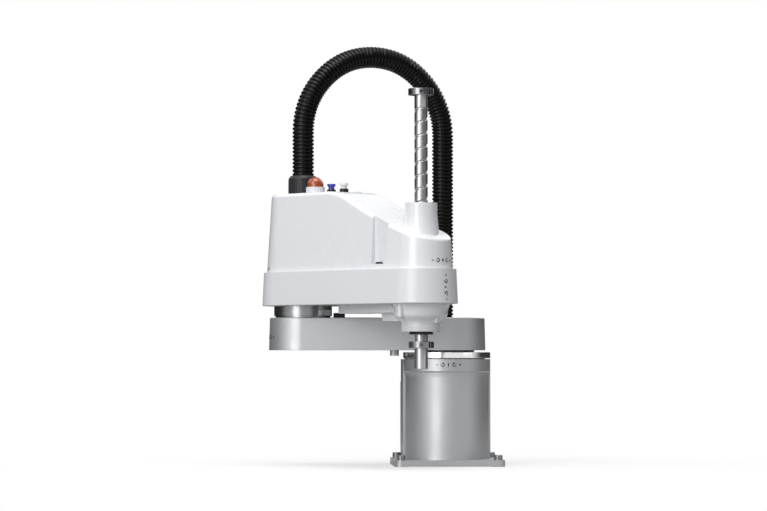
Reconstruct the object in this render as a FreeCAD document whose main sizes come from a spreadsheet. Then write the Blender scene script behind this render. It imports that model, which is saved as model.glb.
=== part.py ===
"""A four-axis selective-compliance arm on a square base, at its full size.

Lengths are in millimetres. The origin lies on the first axis at the base's mounting face, with
+Z up, the robot's front at -Y and its connector side at +Y. The first arm points along -X and
the second arm is folded back towards the front, as in the photograph.
"""
import FreeCAD, Part
import math
import os
import re
import Sketcher
from types import SimpleNamespace
from FreeCAD import Vector

doc = FreeCAD.newDocument("FourAxisArm")
sheet = doc.addObject("Spreadsheet::Sheet", "Sizes")

SIZES = {
    # reach and rest pose
    "arm_1_span": 225, "arm_1_turn": 180, "arm_2_span": 275, "arm_2_turn": -51,
    "running_gap": 0.3, "slide_fit": 0.08, "screw_radius": 3.4, "screw_head": 3,
    # base
    "plate_width": 170, "plate_depth": 180, "plate_height": 10, "plate_corner": 10,
    "foot_relief": 0.8, "foot_width": 20,
    "bolt_pitch": 150, "bolt_bore": 9, "column_radius": 65.5, "column_top": 147,
    "flange_radius": 67.6, "base_top": 165.8, "cove_height": 9, "cove_lip": 2, "cove_step": 0.9,
    "base_wall": 7, "deck_height": 12, "rear_width": 137, "rear_depth": 74,
    "shelf_width": 133.6, "shelf_depth": 124, "shelf_top": 130,
    "panel_height": 3, "panel_inset": 4, "panel_screw_inset": 5, "socket_wall": 2.5,
    "socket_floor": 3, "power_width": 38, "power_height": 26, "power_depth": 16,
    "signal_width": 46, "signal_height": 20, "signal_depth": 14, "data_width": 39,
    "data_height": 13, "data_depth": 8, "upper_row": 88, "lower_row": 52, "left_column": -34,
    "right_column": 16, "air_start": 4, "air_pitch": 20,
    # first axis
    "spigot_radius": 45.7, "seal_radius": 60, "seal_height": 1.2,
    "ring_radius": 68.2, "ring_height": 9.5, "hub_bore": 32, "hub_depth": 16,
    "disc_radius": 43, "disc_height": 2.8, "motor_side": 76, "motor_length": 78,
    "motor_flange": 50, "motor_flange_height": 8, "encoder_side": 62, "encoder_length": 24,
    "stop_circle": 82, "stop_pin": 14, "stop_pin_length": 8.7,
    "stop_block_angle": 135.2, "stop_block_width": 12, "stop_block_length": 16,
    "stop_block_height": 10,
    # first arm
    "arm_1_root": 60.6, "arm_1_tip": 53.1, "arm_1_height": 47.6, "arm_1_draft": 1.5,
    "arm_1_wall": 7, "arm_1_roof": 9, "arm_1_lid": 3, "arm_1_boss": 49,
    "arm_1_tip_boss": 41,
    "cable_bore": 30, "soft_edge": 1.5,
    # second axis
    "turn_disc_radius": 43, "turn_disc_height": 2.5, "turn_hub": 25, "hub_room": 1,
    "drive_radius": 45.2, "drive_height": 15.5,
    "tab_reach": 58, "tab_width": 14, "tab_height": 9,
    "limit_start": 48, "limit_length": 17, "limit_width": 38, "limit_height": 7.5,
    # second arm's casting
    "arm_2_root": 63.5, "arm_2_tip": 55.3, "arm_2_height": 52, "arm_2_draft": 2.6,
    "arm_2_wall": 9, "arm_2_floor": 8, "pod_start": 131, "pod_root": 30, "pod_tip": 37,
    "pod_height": 13, "deep_pod_back": 56, "deep_pod_root": 20, "deep_pod_tip": 30,
    "deep_pod_height": 25.7, "deep_pod_draft": 12, "pod_gap": 0.5, "lug_radius": 5,
    "lug_side": 42, "lug_height": 19.5,
    "boss_top": 44.5, "boss_waist": 41, "boss_shoulder": 39.5, "boss_foot": 28.6, "boss_lip": 30,
    "boss_height": 28.5, "boss_skirt": 8, "boss_barrel": 10, "lip_height": 2, "gusset_reach": 36,
    "gusset_width": 2.6, "gusset_height": 13,
    "seal_ring": 29, "seal_ring_height": 13.5, "wiper_radius": 18, "wiper_height": 3.6,
    "nut_bore": 20, "nut_bearing_low": 226, "nut_bearing_height": 20,
    # cover
    "cover_root": 56.4, "cover_tip": 47.6, "cover_height": 122, "cover_draft": 3.5,
    "cover_wall": 3, "cover_edge": 6.5, "plateau_end": 108, "brow_radius": 100, "slope": 26.5,
    "dip_radius": 1100, "chimney_radius": 24.5, "chimney_foot": 27.5, "chimney_top": 400,
    "chimney_neck": 16, "chimney_bore": 20.5, "chimney_hole": 14,
    "recess_back": 58, "recess_width": 33, "recess_depth": 8, "recess_low": 8,
    "cover_screw": 2.6, "cover_screw_back": 45, "cover_screw_pitch": 8, "cover_screw_side": 44.6,
    "chimney_low": 20, "chimney_cone": 34,
    # shaft and its nuts
    "shaft_radius": 10, "shaft_bore": 14, "shaft_low": 150.7, "shaft_length": 421.3,
    "collar_radius": 19.3, "collar_height": 10, "low_collar_at": 182, "collar_slit": 2,
    "relief_depth": 0.3, "relief_height": 3,
    "spline_radius": 16, "spline_low": 210, "spline_top": 279, "screw_low": 284,
    "screw_top": 326, "pulley_radius": 30, "pulley_height": 14, "pulley_rim": 32,
    "small_pulley": 12, "belt_height": 12, "belt_depth": 2, "spline_pulley_at": 262,
    "drive_plate_at": 304, "drive_plate_height": 8, "drive_plate_start": 100,
    "drive_plate_half": 36, "post_radius": 4, "post_side": 31, "rear_post_at": 92,
    "front_post_at": 205, "rim_height": 1.5, "bearing_wall": 6,
    # motors in the second arm
    "elbow_motor": 60, "elbow_motor_height": 78, "elbow_flange": 72, "elbow_flange_height": 8,
    "lift_motor_at": 165, "spin_motor_at": 98,
    "small_motor": 60, "lift_motor_height": 70, "spin_motor_height": 92, "motor_shaft": 5,
    # fittings on the cover
    "gland_radius": 23.3, "gland_height": 29.7, "gland_lip": 6, "gland_taper": 3,
    "duct_radius": 17, "duct_bore": 13, "duct_entry": 12, "duct_eave": 571.6, "duct_crown": 643.7,
    "duct_share": 0.293, "duct_bend": 0.45, "base_gland_at": 100, "base_gland_height": 27,
    "lamp_at": 52, "lamp_side": 19, "lamp_foot": 14.6, "lamp_base": 9.5, "lamp_radius": 12.6,
    "dome_skirt": 3.4, "port_radius": 6.8, "port_foot": 6, "port_neck": 4.6, "port_cap": 6.5,
    "port_bore": 3, "port_height": 14.5, "port_rim": 3.5, "port_floor": 5,
    "first_port_at": 68, "first_port_side": 0, "second_port_at": 98,
    "second_port_side": 0, "socket_at": 42, "socket_side": 0, "round_socket": 6.3,
    "round_socket_height": 5, "button_at": 103, "button_side": -23, "button_radius": 4.2,
    "button_rise": 0.8, "button_length": 9, "button_travel": 2, "bezel_radius": 6.5,
    "bezel_height": 1.2,
}
for row, (alias, number) in enumerate(SIZES.items(), start=1):
    sheet.set(f"A{row}", alias)
    sheet.set(f"B{row}", str(number))
    sheet.setAlias(f"B{row}", alias)
doc.recompute()

UP = Vector(0, 0, 1)
WORD = re.compile(r"[a-z][a-z_0-9]*")
size = SimpleNamespace(**{alias: float(sheet.get(alias)) for alias in SIZES})
parts = []

# Where each body's own frame stands in the part's frame, as x, y and turn.
FRAMES = {
    "base": ("0", "0", "0"),
    "arm_1": ("0", "0", "arm_1_turn"),
    "arm_2": ("arm_1_span * cos(arm_1_turn * 1deg)", "arm_1_span * sin(arm_1_turn * 1deg)",
              "arm_2_turn"),
}


def linked(text):
    """The expression with every size written as a cell of the sheet."""
    return WORD.sub(lambda found: "Sizes." + found[0] if found[0] in SIZES else found[0], str(text))


def amount(text):
    """What an expression of the sheet's sizes comes to."""
    return float(sheet.evalExpression(linked(text)))


def bind(item, **sizes):
    """Ties an object's properties to expressions of the sheet's sizes."""
    for prop, text in sizes.items():
        item.setExpression(prop, linked(text))
    return item


def place(item, x, y, z, turn="0"):
    """Puts an object at a point, turned about the vertical."""
    item.Placement = FreeCAD.Placement(Vector(), FreeCAD.Rotation(UP, 1))
    for axis, text in zip("xyz", (x, y, z)):
        item.setExpression("Placement.Base." + axis, linked(text))
    item.setExpression("Placement.Rotation.Angle", linked(f"({turn}) * 1deg"))
    return item


def rod(name, radius, height, x=0, y=0, z=0):
    """An upright cylinder."""
    item = bind(doc.addObject("Part::Cylinder", name), Radius=radius, Height=height)
    return place(item, x, y, z)


def taper(name, low, high, height, x=0, y=0, z=0):
    """An upright cone cut off at the top."""
    item = bind(doc.addObject("Part::Cone", name), Radius1=low, Radius2=high, Height=height)
    return place(item, x, y, z)


def block(name, length, width, height, x=0, y=0, z=0):
    """A box whose footprint is centred on a point."""
    item = bind(doc.addObject("Part::Box", name), Length=length, Width=width, Height=height)
    return place(item, f"{x} - ({length}) / 2", f"{y} - ({width}) / 2", z)


def joined(name, *items):
    """Solids made into one."""
    item = doc.addObject("Part::MultiFuse", name)
    item.Shapes = list(items)
    item.Refine = True
    return item


def less(name, base, *tools):
    """A solid with others cut out of it."""
    item = doc.addObject("Part::Cut", name)
    item.Base = base
    item.Tool = tools[0] if len(tools) == 1 else joined(name + "Tools", *tools)
    item.Refine = True
    return item


def shared(name, *items):
    """What solids have in common."""
    item = doc.addObject("Part::MultiCommon", name)
    item.Shapes = list(items)
    return item


def rounded(name, base, radius, wanted):
    """Fillets the edges of a solid that a test picks out."""
    doc.recompute()
    item = doc.addObject("Part::Fillet", name)
    item.Base = base
    edges = [n for n, edge in enumerate(base.Shape.Edges, start=1) if wanted(edge)]
    item.Edges = [(n, radius, radius) for n in edges]
    return item


def round_ended(name, near, far, span, z, start="0"):
    """A sketch of two round ends and the lines that touch both."""
    sketch = place(doc.addObject("Sketcher::SketchObject", name), start, "0", z)
    here = SimpleNamespace(near=amount(near), far=amount(far), span=amount(span))
    touch = math.acos((here.near - here.far) / here.span)
    ends = Vector(0, 0, 0), Vector(here.span, 0, 0)
    near_arc = Part.ArcOfCircle(Part.Circle(ends[0], UP, here.near), touch, 2 * math.pi - touch)
    far_arc = Part.ArcOfCircle(Part.Circle(ends[1], UP, here.far), -touch, touch)
    sketch.addGeometry([
        near_arc,
        far_arc,
        Part.LineSegment(near_arc.StartPoint, far_arc.EndPoint),
        Part.LineSegment(near_arc.EndPoint, far_arc.StartPoint),
    ])
    limit = Sketcher.Constraint
    sketch.addConstraint([
        limit("Coincident", 0, 3, -1, 1),
        limit("PointOnObject", 1, 3, -1),
        limit("Tangent", 2, 1, 0, 1),
        limit("Tangent", 2, 2, 1, 2),
        limit("Tangent", 3, 1, 0, 2),
        limit("Tangent", 3, 2, 1, 1),
    ])
    driven = (("Radius", (0,), near), ("Radius", (1,), far), ("DistanceX", (-1, 1, 1, 3), span))
    for kind, spot, text in driven:
        at = sketch.addConstraint(limit(kind, *spot, amount(text)))
        sketch.setExpression(f"Constraints[{at}]", linked(text))
    return sketch


def raised(name, sketch, height, draft="0"):
    """A sketch drawn upwards into a solid whose sides lean inwards by the draft."""
    item = doc.addObject("Part::Extrusion", name)
    item.Base = sketch
    item.DirMode = "Custom"
    item.Dir = UP
    item.Solid = True
    return bind(item, LengthFwd=height, TaperAngle=f"-({draft})")


def keep(node, frame, *items):
    """Names a finished sub-part and stands it in its body's frame."""
    if len(items) > 1 or items[0].TypeId in ("Part::Cylinder", "Part::Cone", "Part::Box"):
        item = doc.addObject("Part::Compound", node)
        item.Links = list(items)
    else:
        item = items[0]
    item.Label = node
    x, y, turn = FRAMES[frame]
    place(item, x, y, "0", turn)
    parts.append(item)
    return item


def corners(pitch_x, pitch_y):
    """The four corners of a rectangle about a point."""
    return [(f"{a} * ({pitch_x}) / 2", f"{b} * ({pitch_y}) / 2") for a in (-1, 1) for b in (-1, 1)]


# Heights that the stack of pieces comes to.
RING_AT = "(base_top + seal_height)"
ARM_1_AT = "(base_top + seal_height + ring_height + running_gap + disc_height)"
CASTING_1_AT = f"({ARM_1_AT} + arm_1_lid)"
ARM_1_TOP = f"({CASTING_1_AT} + arm_1_height)"
DRIVE_AT = f"({ARM_1_TOP} + turn_disc_height + running_gap)"
ARM_2_AT = f"({DRIVE_AT} + drive_height)"
ARM_2_TOP = f"({ARM_2_AT} + arm_2_height)"
FLOOR_2 = f"({ARM_2_AT} + arm_2_floor)"
COVER_TOP = f"({ARM_2_TOP} + cover_height)"


def upright(edge):
    """Whether an edge stands upright."""
    first, last = edge.Vertexes[0].Point, edge.Vertexes[-1].Point
    return abs(first.z - last.z) > 1 and abs(first.x - last.x) + abs(first.y - last.y) < 1e-6


def base_casting():
    """The plate, the column with its flange, and the connector box behind it, hollow inside."""
    blank = block("PlateBlank", "plate_width", "plate_depth", "plate_height")
    plate = rounded("Plate", blank, size.plate_corner, upright)
    column = rod("Column", "column_radius", "base_top")
    cove = taper("Cove", "column_radius", "column_radius + cove_step", "cove_height",
                 z="column_top - cove_lip - cove_height")
    lip = taper("CoveLip", "column_radius + cove_step", "flange_radius", "cove_lip",
                z="column_top - cove_lip")
    flange = rod("Flange", "flange_radius", "base_top - column_top", z="column_top")
    rear = block("RearBox", "rear_width", "rear_depth", "base_top - plate_height",
                 y="rear_depth / 2", z="plate_height")
    shelf = block("RearShelf", "shelf_width", "shelf_depth", "shelf_top - plate_height",
                  y="shelf_depth / 2", z="plate_height")
    behind = lambda edge: upright(edge) and edge.Vertexes[0].Y > 0
    rear_form = rounded("RearForm", rear, size.soft_edge, behind)
    shelf_form = rounded("ShelfForm", shelf, size.soft_edge * 2, behind)
    outside = joined("BaseOutside", plate, column, cove, lip, flange, rear_form, shelf_form)
    well = rod("Well", "column_radius - base_wall", "base_top - deck_height")
    room = block("Room", "shelf_width - 2 * base_wall", "shelf_depth",
                 "shelf_top - base_wall - 2 * plate_height", y="shelf_depth / 2", z="2 * plate_height")
    attic = block("Attic", "rear_width - 2 * base_wall", "rear_depth - base_wall",
                  "base_top - deck_height - 2 * plate_height",
                  y="(rear_depth - base_wall) / 2", z="2 * plate_height")
    deck_bore = rod("DeckBore", "spigot_radius + slide_fit", "base_top")
    duct_hole = rod("DuctHole", "duct_bore", "shelf_top", y="base_gland_at", z="plate_height * 3")
    holes = [rod(f"BoltBore{n}", "bolt_bore / 2", "plate_height", x, y)
             for n, (x, y) in enumerate(corners("bolt_pitch", "bolt_pitch"))]
    under = block("FootRelief", "plate_width - 2 * foot_width", "plate_depth", "foot_relief")
    hollow = joined("BaseHollow", well, room, attic, deck_bore, duct_hole, under, *holes)
    return keep("base_casting", "base", less("BaseCasting", outside, hollow))


def connector_panel():
    """The plate that closes the box behind the base, with its sockets and air fittings."""
    top = "(shelf_top - panel_inset)"
    low = "(plate_height + panel_inset)"
    tall = f"({top} - {low})"
    wide = "(shelf_width - 2 * panel_inset)"
    plate = block("PanelPlate", wide, "panel_height", tall, y="shelf_depth + panel_height / 2", z=low)
    keep("connector_panel", "base", plate)
    face = "shelf_depth + panel_height"
    for node, x, z, kind in (
        ("power_connector", "left_column", "upper_row", "power"),
        ("signal_connector", "right_column", "upper_row", "signal"),
        ("user_connector", "left_column", "lower_row", "data"),
    ):
        width, depth, height = f"{kind}_width", f"{kind}_depth", f"{kind}_height"
        shell = block(node + "Shell", width, depth, height, x=x, y=f"{face} + {depth} / 2", z=z)
        mouth = block(node + "Mouth", f"{width} - 2 * socket_wall", depth,
                      f"{height} - 2 * socket_wall", x=x,
                      y=f"{face} + {depth} / 2 + socket_floor", z=f"{z} + socket_wall")
        keep(node, "base", less(node + "Body", shell, mouth))
    fittings = []
    for n in range(3):
        x = f"air_start + {n} * air_pitch"
        body = lying(f"AirFitting{n}", "port_radius", "port_height", x, face, "lower_row")
        bore = lying(f"AirBore{n}", "port_bore", "port_height", x, f"{face} + port_floor", "lower_row")
        fittings.append(less(f"AirPort{n}", body, bore))
    keep("rear_air_fittings", "base", *fittings)
    spots = corners(f"{wide} - 2 * panel_screw_inset", f"{tall} - 2 * panel_screw_inset")
    keep("panel_screws", "base", *[
        lying(f"PanelScrew{n}", "screw_radius", "screw_head", x, face, f"({top} + {low}) / 2 + {z}")
        for n, (x, z) in enumerate(spots)
    ])


def lying(name, radius, length, x, y, z):
    """A cylinder that lies along the row's +Y."""
    item = bind(doc.addObject("Part::Cylinder", name), Radius=radius, Height=length)
    item.Placement = FreeCAD.Placement(Vector(), FreeCAD.Rotation(Vector(1, 0, 0), -90))
    for axis, text in zip("xyz", (x, y, z)):
        item.setExpression("Placement.Base." + axis, linked(text))
    return item


def first_axis():
    """The motor and reducer in the base, the disc that they turn, and the stops."""
    deck_low = "(base_top - deck_height)"
    flange = rod("MotorFlange1", "motor_flange", "motor_flange_height",
                 z=f"{deck_low} - motor_flange_height")
    barrel = block("MotorBarrel1", "motor_side", "motor_side", "motor_length",
                   z=f"{deck_low} - motor_flange_height - motor_length")
    encoder = block("Encoder1", "encoder_side", "encoder_side", "encoder_length",
                    z=f"{deck_low} - motor_flange_height - motor_length - encoder_length")
    keep("base_motor", "base", joined("BaseMotor", flange, barrel, encoder))

    ring = rod("Ring", "ring_radius", "ring_height", z=RING_AT)
    seal = rod("Seal", "seal_radius", "seal_height", z="base_top")
    spigot = rod("Spigot", "spigot_radius", "deck_height", z=deck_low)
    bore = rod("RingBore", "hub_bore", "deck_height + seal_height + ring_height", z=deck_low)
    keep("base_reducer_ring", "base", less("ReducerRing", joined("RingForm", ring, seal, spigot), bore))

    disc = rod("Disc", "disc_radius", "disc_height", z=f"{ARM_1_AT} - disc_height")
    hub = rod("DiscHub", "hub_bore - slide_fit", "hub_depth", z=f"{ARM_1_AT} - disc_height - hub_depth")
    keep("base_output_disc", "arm_1", joined("OutputDisc", disc, hub))

    blocks = []
    for n, side in enumerate((1, -1)):
        item = bind(doc.addObject("Part::Box", f"StopBlock{n}"),
                    Length="stop_block_length", Width="stop_block_width", Height="stop_block_height")
        turn = f"{side} * stop_block_angle - 90"
        back = "0" if side > 0 else "stop_block_width"
        reach = "(stop_circle - stop_block_length / 2)"
        place(item, f"{reach} * cos(({turn}) * 1deg) + {back} * sin(({turn}) * 1deg)",
              f"{reach} * sin(({turn}) * 1deg) - {back} * cos(({turn}) * 1deg)", "base_top", turn)
        blocks.append(item)
    keep("base_stop_blocks", "base", *blocks)
    pin = rod("StopPin", "stop_pin / 2", "stop_pin_length", x="stop_circle",
              z=f"{ARM_1_AT} - stop_pin_length")
    keep("base_stop_pin", "arm_1", pin)


def first_arm():
    """The first arm's hollow casting and the lid that closes it from below."""
    outline = round_ended("Arm1Outline", "arm_1_root", "arm_1_tip", "arm_1_span", CASTING_1_AT)
    outside = raised("Arm1Form", outline, "arm_1_height", "arm_1_draft")
    softened = rounded("Arm1Soft", outside, size.soft_edge,
                       lambda e: min(v.Z for v in e.Vertexes) > amount(ARM_1_TOP) - 1e-3)
    inner = round_ended("Arm1Inner", "arm_1_root - arm_1_wall", "arm_1_tip - arm_1_wall",
                        "arm_1_span", CASTING_1_AT)
    pocket = raised("Arm1Pocket", inner, "arm_1_height - arm_1_roof", "arm_1_draft")
    bosses = [rod("RootBoss", "arm_1_boss", "arm_1_height", z=CASTING_1_AT),
              rod("TipBoss", "arm_1_tip_boss", "arm_1_height", x="arm_1_span", z=CASTING_1_AT)]
    bores = [rod("RootBore", "cable_bore", "arm_1_height - arm_1_roof", z=CASTING_1_AT),
             rod("TipBore", "cable_bore", "arm_1_height", x="arm_1_span", z=CASTING_1_AT)]
    hollow = less("Arm1Hollow", pocket, *bosses)
    keep("arm_1_casting", "arm_1", less("Arm1Casting", softened, hollow, *bores))
    lid_outline = round_ended("LidOutline", "arm_1_root", "arm_1_tip", "arm_1_span", ARM_1_AT)
    keep("arm_1_lid", "arm_1", raised("Arm1LidForm", lid_outline, "arm_1_lid"))


def second_axis():
    """The turning disc on the first arm, the reducer above it, the motor, and the stops."""
    disc = rod("TurnDisc", "turn_disc_radius", "turn_disc_height", x="arm_1_span", z=ARM_1_TOP)
    hub = rod("TurnHub", "turn_hub", "turn_disc_height + drive_height - 2 * hub_room",
              x="arm_1_span", z=ARM_1_TOP)
    keep("elbow_turn_disc", "arm_1", joined("ElbowDisc", disc, hub))
    stop = block("Limit", "limit_length", "limit_width", "limit_height",
                 x="arm_1_span - limit_start - limit_length / 2", z=ARM_1_TOP)
    keep("elbow_stop_block", "arm_1", stop)

    drive = rod("Drive", "drive_radius", "drive_height", z=DRIVE_AT)
    tab = block("Tab", "tab_reach", "tab_width", "tab_height", x="tab_reach / 2", z=DRIVE_AT)
    bore = rod("DriveBore", "turn_hub + slide_fit", "drive_height - hub_room", z=DRIVE_AT)
    keep("elbow_reducer", "arm_2", less("ElbowReducer", joined("DriveForm", drive, tab), bore))
    plate = block("MotorPlate2", "elbow_flange", "elbow_flange", "elbow_flange_height", z=FLOOR_2)
    barrel = block("MotorBarrel2", "elbow_motor", "elbow_motor", "elbow_motor_height",
                   z=f"{FLOOR_2} + elbow_flange_height")
    keep("elbow_motor", "arm_2", joined("ElbowMotor", plate, barrel))


def second_arm():
    """The second arm's open casting, the pods under it and the shaft's housing."""
    outline = round_ended("Arm2Outline", "arm_2_root", "arm_2_tip", "arm_2_span", ARM_2_AT)
    outside = raised("Arm2Form", outline, "arm_2_height", "arm_2_draft")
    softened = rounded("Arm2Soft", outside, size.soft_edge,
                       lambda e: max(v.Z for v in e.Vertexes) < amount(ARM_2_AT) + 1e-3)
    inner = round_ended("Arm2Inner", "arm_2_root - arm_2_wall", "arm_2_tip - arm_2_wall",
                        "arm_2_span", FLOOR_2)
    inside = raised("Arm2Room", inner, "arm_2_height", "arm_2_draft")
    bore = rod("NutBore2", "nut_bore", "arm_2_height", x="arm_2_span", z=ARM_2_AT)
    keep("arm_2_casting", "arm_2", less("Arm2Casting", softened, inside, bore))

    low = f"({ARM_2_AT} - boss_height)"

    def housing(name, grow):
        """The housing's outside, and the same a little larger for the pod's seat."""
        lip = rod(name + "Lip", f"boss_lip + {grow}", "lip_height", x="arm_2_span", z=low)
        cone = taper(name + "Cone", f"boss_foot + {grow}", f"boss_shoulder + {grow}",
                     "boss_height - boss_skirt - boss_barrel", x="arm_2_span", z=low)
        barrel = taper(name + "Barrel", f"boss_shoulder + {grow}", f"boss_waist + {grow}", "boss_barrel",
                       x="arm_2_span", z=f"{ARM_2_AT} - boss_skirt - boss_barrel")
        skirt = taper(name + "Skirt", f"boss_waist + {grow}", f"boss_top + {grow}", "boss_skirt",
                      x="arm_2_span", z=f"{ARM_2_AT} - boss_skirt")
        return [lip, cone, barrel, skirt]

    gusset = block("Gusset", "gusset_reach", "gusset_width", "gusset_height",
                   x="arm_2_span + gusset_reach / 2", z=low)
    boss_bore = rod("BossBore", "nut_bore", "boss_height", x="arm_2_span", z=low)
    lugs = [rod(f"Lug{n}", "lug_radius", "lug_height", x="arm_2_span", y=f"{side} * lug_side",
                z=f"{ARM_2_AT} - lug_height") for n, side in enumerate((1, -1))]
    boss = joined("Boss", gusset, *lugs, *housing("Boss", "0"))
    keep("shaft_housing", "arm_2", less("ShaftHousing", boss, boss_bore))

    pod_outline = round_ended("PodOutline", "pod_root", "pod_tip", "arm_2_span - pod_start",
                              f"{ARM_2_AT} - pod_height", "pod_start")
    pod = raised("Pod", pod_outline, "pod_height")
    deep_outline = round_ended("DeepOutline", "deep_pod_root", "deep_pod_tip", "deep_pod_back",
                               f"{ARM_2_AT} - deep_pod_height", "arm_2_span - deep_pod_back")
    deep = raised("DeepPod", deep_outline, "deep_pod_height", "-deep_pod_draft")
    keep_out = joined("PodSeat", *housing("PodSeat", "pod_gap"))
    keep("belt_pod", "arm_2", less("BeltPod", joined("PodForm", pod, deep), keep_out))

    race = rod("Race", "nut_bore - slide_fit / 2", "nut_bearing_height", x="arm_2_span",
               z="nut_bearing_low")
    race_bore = rod("RaceBore", "spline_radius + slide_fit", "nut_bearing_height", x="arm_2_span",
                    z="nut_bearing_low")
    keep("spline_bearing", "arm_2", less("SplineBearing", race, race_bore))

    ring_low = f"{ARM_2_AT} - boss_height - seal_ring_height"
    ring = rod("SealRing", "seal_ring", "seal_ring_height", x="arm_2_span", z=ring_low)
    ring_bore = rod("SealRingBore", "nut_bore", "seal_ring_height", x="arm_2_span", z=ring_low)
    keep("shaft_seal_ring", "arm_2", less("SealRingBody", ring, ring_bore))


def top_line(drop, half):
    """The cover's side view as a slab: level at the back, a brow, and a long dip to the nose."""
    back, level = -2 * size.cover_root, amount(COVER_TOP) - drop
    turn = math.radians(size.slope)
    brow, dip = size.brow_radius - drop, size.dip_radius + drop
    centre = Vector(size.plateau_end, 0, level - brow)
    brow_mid = centre + Vector(math.sin(turn / 2), 0, math.cos(turn / 2)) * brow
    brow_end = centre + Vector(math.sin(turn), 0, math.cos(turn)) * brow
    dip_centre = brow_end + Vector(math.sin(turn), 0, math.cos(turn)) * dip
    reach = size.arm_2_span + 2 * size.cover_tip - brow_end.x
    last_turn = math.asin(math.sin(turn) - reach / dip)
    mid_turn = (turn + last_turn) / 2
    dip_mid, nose = (dip_centre - Vector(math.sin(a), 0, math.cos(a)) * dip
                     for a in (mid_turn, last_turn))
    low = amount(ARM_2_TOP)
    start = Vector(back, 0, level)
    edges = [
        Part.makeLine(Vector(back, 0, low), start),
        Part.makeLine(start, Vector(size.plateau_end, 0, level)),
        Part.Arc(Vector(size.plateau_end, 0, level), brow_mid, brow_end).toShape(),
        Part.Arc(brow_end, dip_mid, nose).toShape(),
        Part.makeLine(nose, Vector(nose.x, 0, low)),
        Part.makeLine(Vector(nose.x, 0, low), Vector(back, 0, low)),
    ]
    slab = Part.Face(Part.Wire(edges)).extrude(Vector(0, 2 * half, 0))
    slab.translate(Vector(0, -half, 0))
    return slab


def cover():
    """The second arm's moulded cover, with its shaft collar and the two screw recesses."""
    half = size.cover_root + size.cover_edge

    def form(name, wall):
        slab = doc.addObject("Part::Feature", name + "Slab")
        slab.Shape = top_line(wall, half)
        outline = round_ended(name + "Outline", f"cover_root - {wall}", f"cover_tip - {wall}",
                              "arm_2_span", ARM_2_TOP)
        walls = raised(name + "Walls", outline, "cover_height + cover_edge", "cover_draft")
        whole = shared(name + "Form", walls, slab)
        low = amount(ARM_2_TOP) + 1
        return rounded(name + "Round", whole, max(size.cover_edge - wall, 1),
                       lambda e: min(v.Z for v in e.Vertexes) > low and not flat_across(e))

    def flat_across(edge):
        ends = [v.Point for v in edge.Vertexes]
        return len(ends) == 2 and abs(ends[0].x - ends[1].x) < 1e-3 and ends[0].y * ends[1].y < 0 \
            and edge.Curve.TypeId == "Part::GeomLine"

    outside = form("Outer", 0)
    inside = form("Inner", size.cover_wall)
    chimney = rod("Chimney", "chimney_radius", f"chimney_top - {ARM_2_TOP} - chimney_low", x="arm_2_span",
                  z=f"{ARM_2_TOP} + chimney_low")
    foot = taper("ChimneyFoot", "chimney_foot", "chimney_radius", "chimney_cone", x="arm_2_span",
                 z="chimney_top - chimney_neck - chimney_cone")
    bore = rod("ChimneyBore", "chimney_bore", f"chimney_top - {ARM_2_TOP} - cover_wall",
               x="arm_2_span", z=ARM_2_TOP)
    hole = rod("ChimneyHole", "chimney_hole", f"chimney_top - {ARM_2_TOP}",
               x="arm_2_span", z=ARM_2_TOP)
    gland_hole = rod("GlandHole", "duct_bore", "cover_height", z=ARM_2_TOP)
    x, y = arm_place("button_at", "button_side")
    button_hole = rod("ButtonHole", "button_radius + slide_fit", "cover_height", x=x, y=y, z=ARM_2_TOP)
    recess, recess_walls = [], []
    middle = "(arm_2_span - recess_back + recess_width / 2)"
    level = f"(cover_root - (cover_root - cover_tip) * ({middle}) / arm_2_span)"
    for n, side in enumerate((1, -1)):
        recess.append(block(f"Recess{n}", "recess_width", "2 * recess_depth", "cover_height",
                            x=middle, y=f"{side} * {level}", z=f"{ARM_2_TOP} + recess_low"))
        recess_walls.append(block(f"RecessWall{n}", "recess_width + 2 * cover_wall",
                                  "2 * recess_depth + 2 * cover_wall", "cover_height",
                                  x=middle, y=f"{side} * {level}",
                                  z=f"{ARM_2_TOP} + recess_low - cover_wall"))
    skin = less("CoverSkin", outside, *recess)
    room = less("CoverRoom", inside, *recess_walls)
    outer = joined("CoverOuter", skin, chimney, foot)
    keep("arm_2_cover", "arm_2", less("ArmCover", outer, room, bore, hole, gland_hole, button_hole))
    keep("cover_screws", "arm_2", *[
        rod(f"CoverScrew{n}", "cover_screw", "screw_head", x=f"arm_2_span - cover_screw_back + {a}", y=b,
            z=f"{ARM_2_TOP} + recess_low")
        for n, (a, b) in enumerate(corners("cover_screw_pitch", "2 * cover_screw_side"))
    ])


def shaft():
    """The grooved shaft with its two stop collars."""
    rod_form = rod("ShaftRod", "shaft_radius", "shaft_length", x="arm_2_span", z="shaft_low")
    rod_bore = rod("ShaftBore", "shaft_bore / 2", "shaft_length", x="arm_2_span", z="shaft_low")
    around, left = (rod(f"Relief{n}", f"shaft_radius {sign} relief_depth", "relief_height",
                        x="arm_2_span", z="low_collar_at") for n, sign in enumerate("+-"))
    keep("shaft", "arm_2", less("ShaftTube", rod_form, rod_bore, less("Relief", around, left)))
    for node, at in (("upper_stop_collar", "shaft_low + shaft_length - collar_height"),
                     ("lower_stop_collar", "low_collar_at")):
        ring = rod(node + "Ring", "collar_radius", "collar_height", x="arm_2_span", z=at)
        hole = rod(node + "Hole", "shaft_radius", "collar_height", x="arm_2_span", z=at)
        slit = block(node + "Slit", "collar_radius", "collar_slit", "collar_height",
                     x="arm_2_span + collar_radius / 2", z=at)
        keep(node, "arm_2", less(node + "Body", ring, joined(node + "Cuts", hole, slit)))


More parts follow.
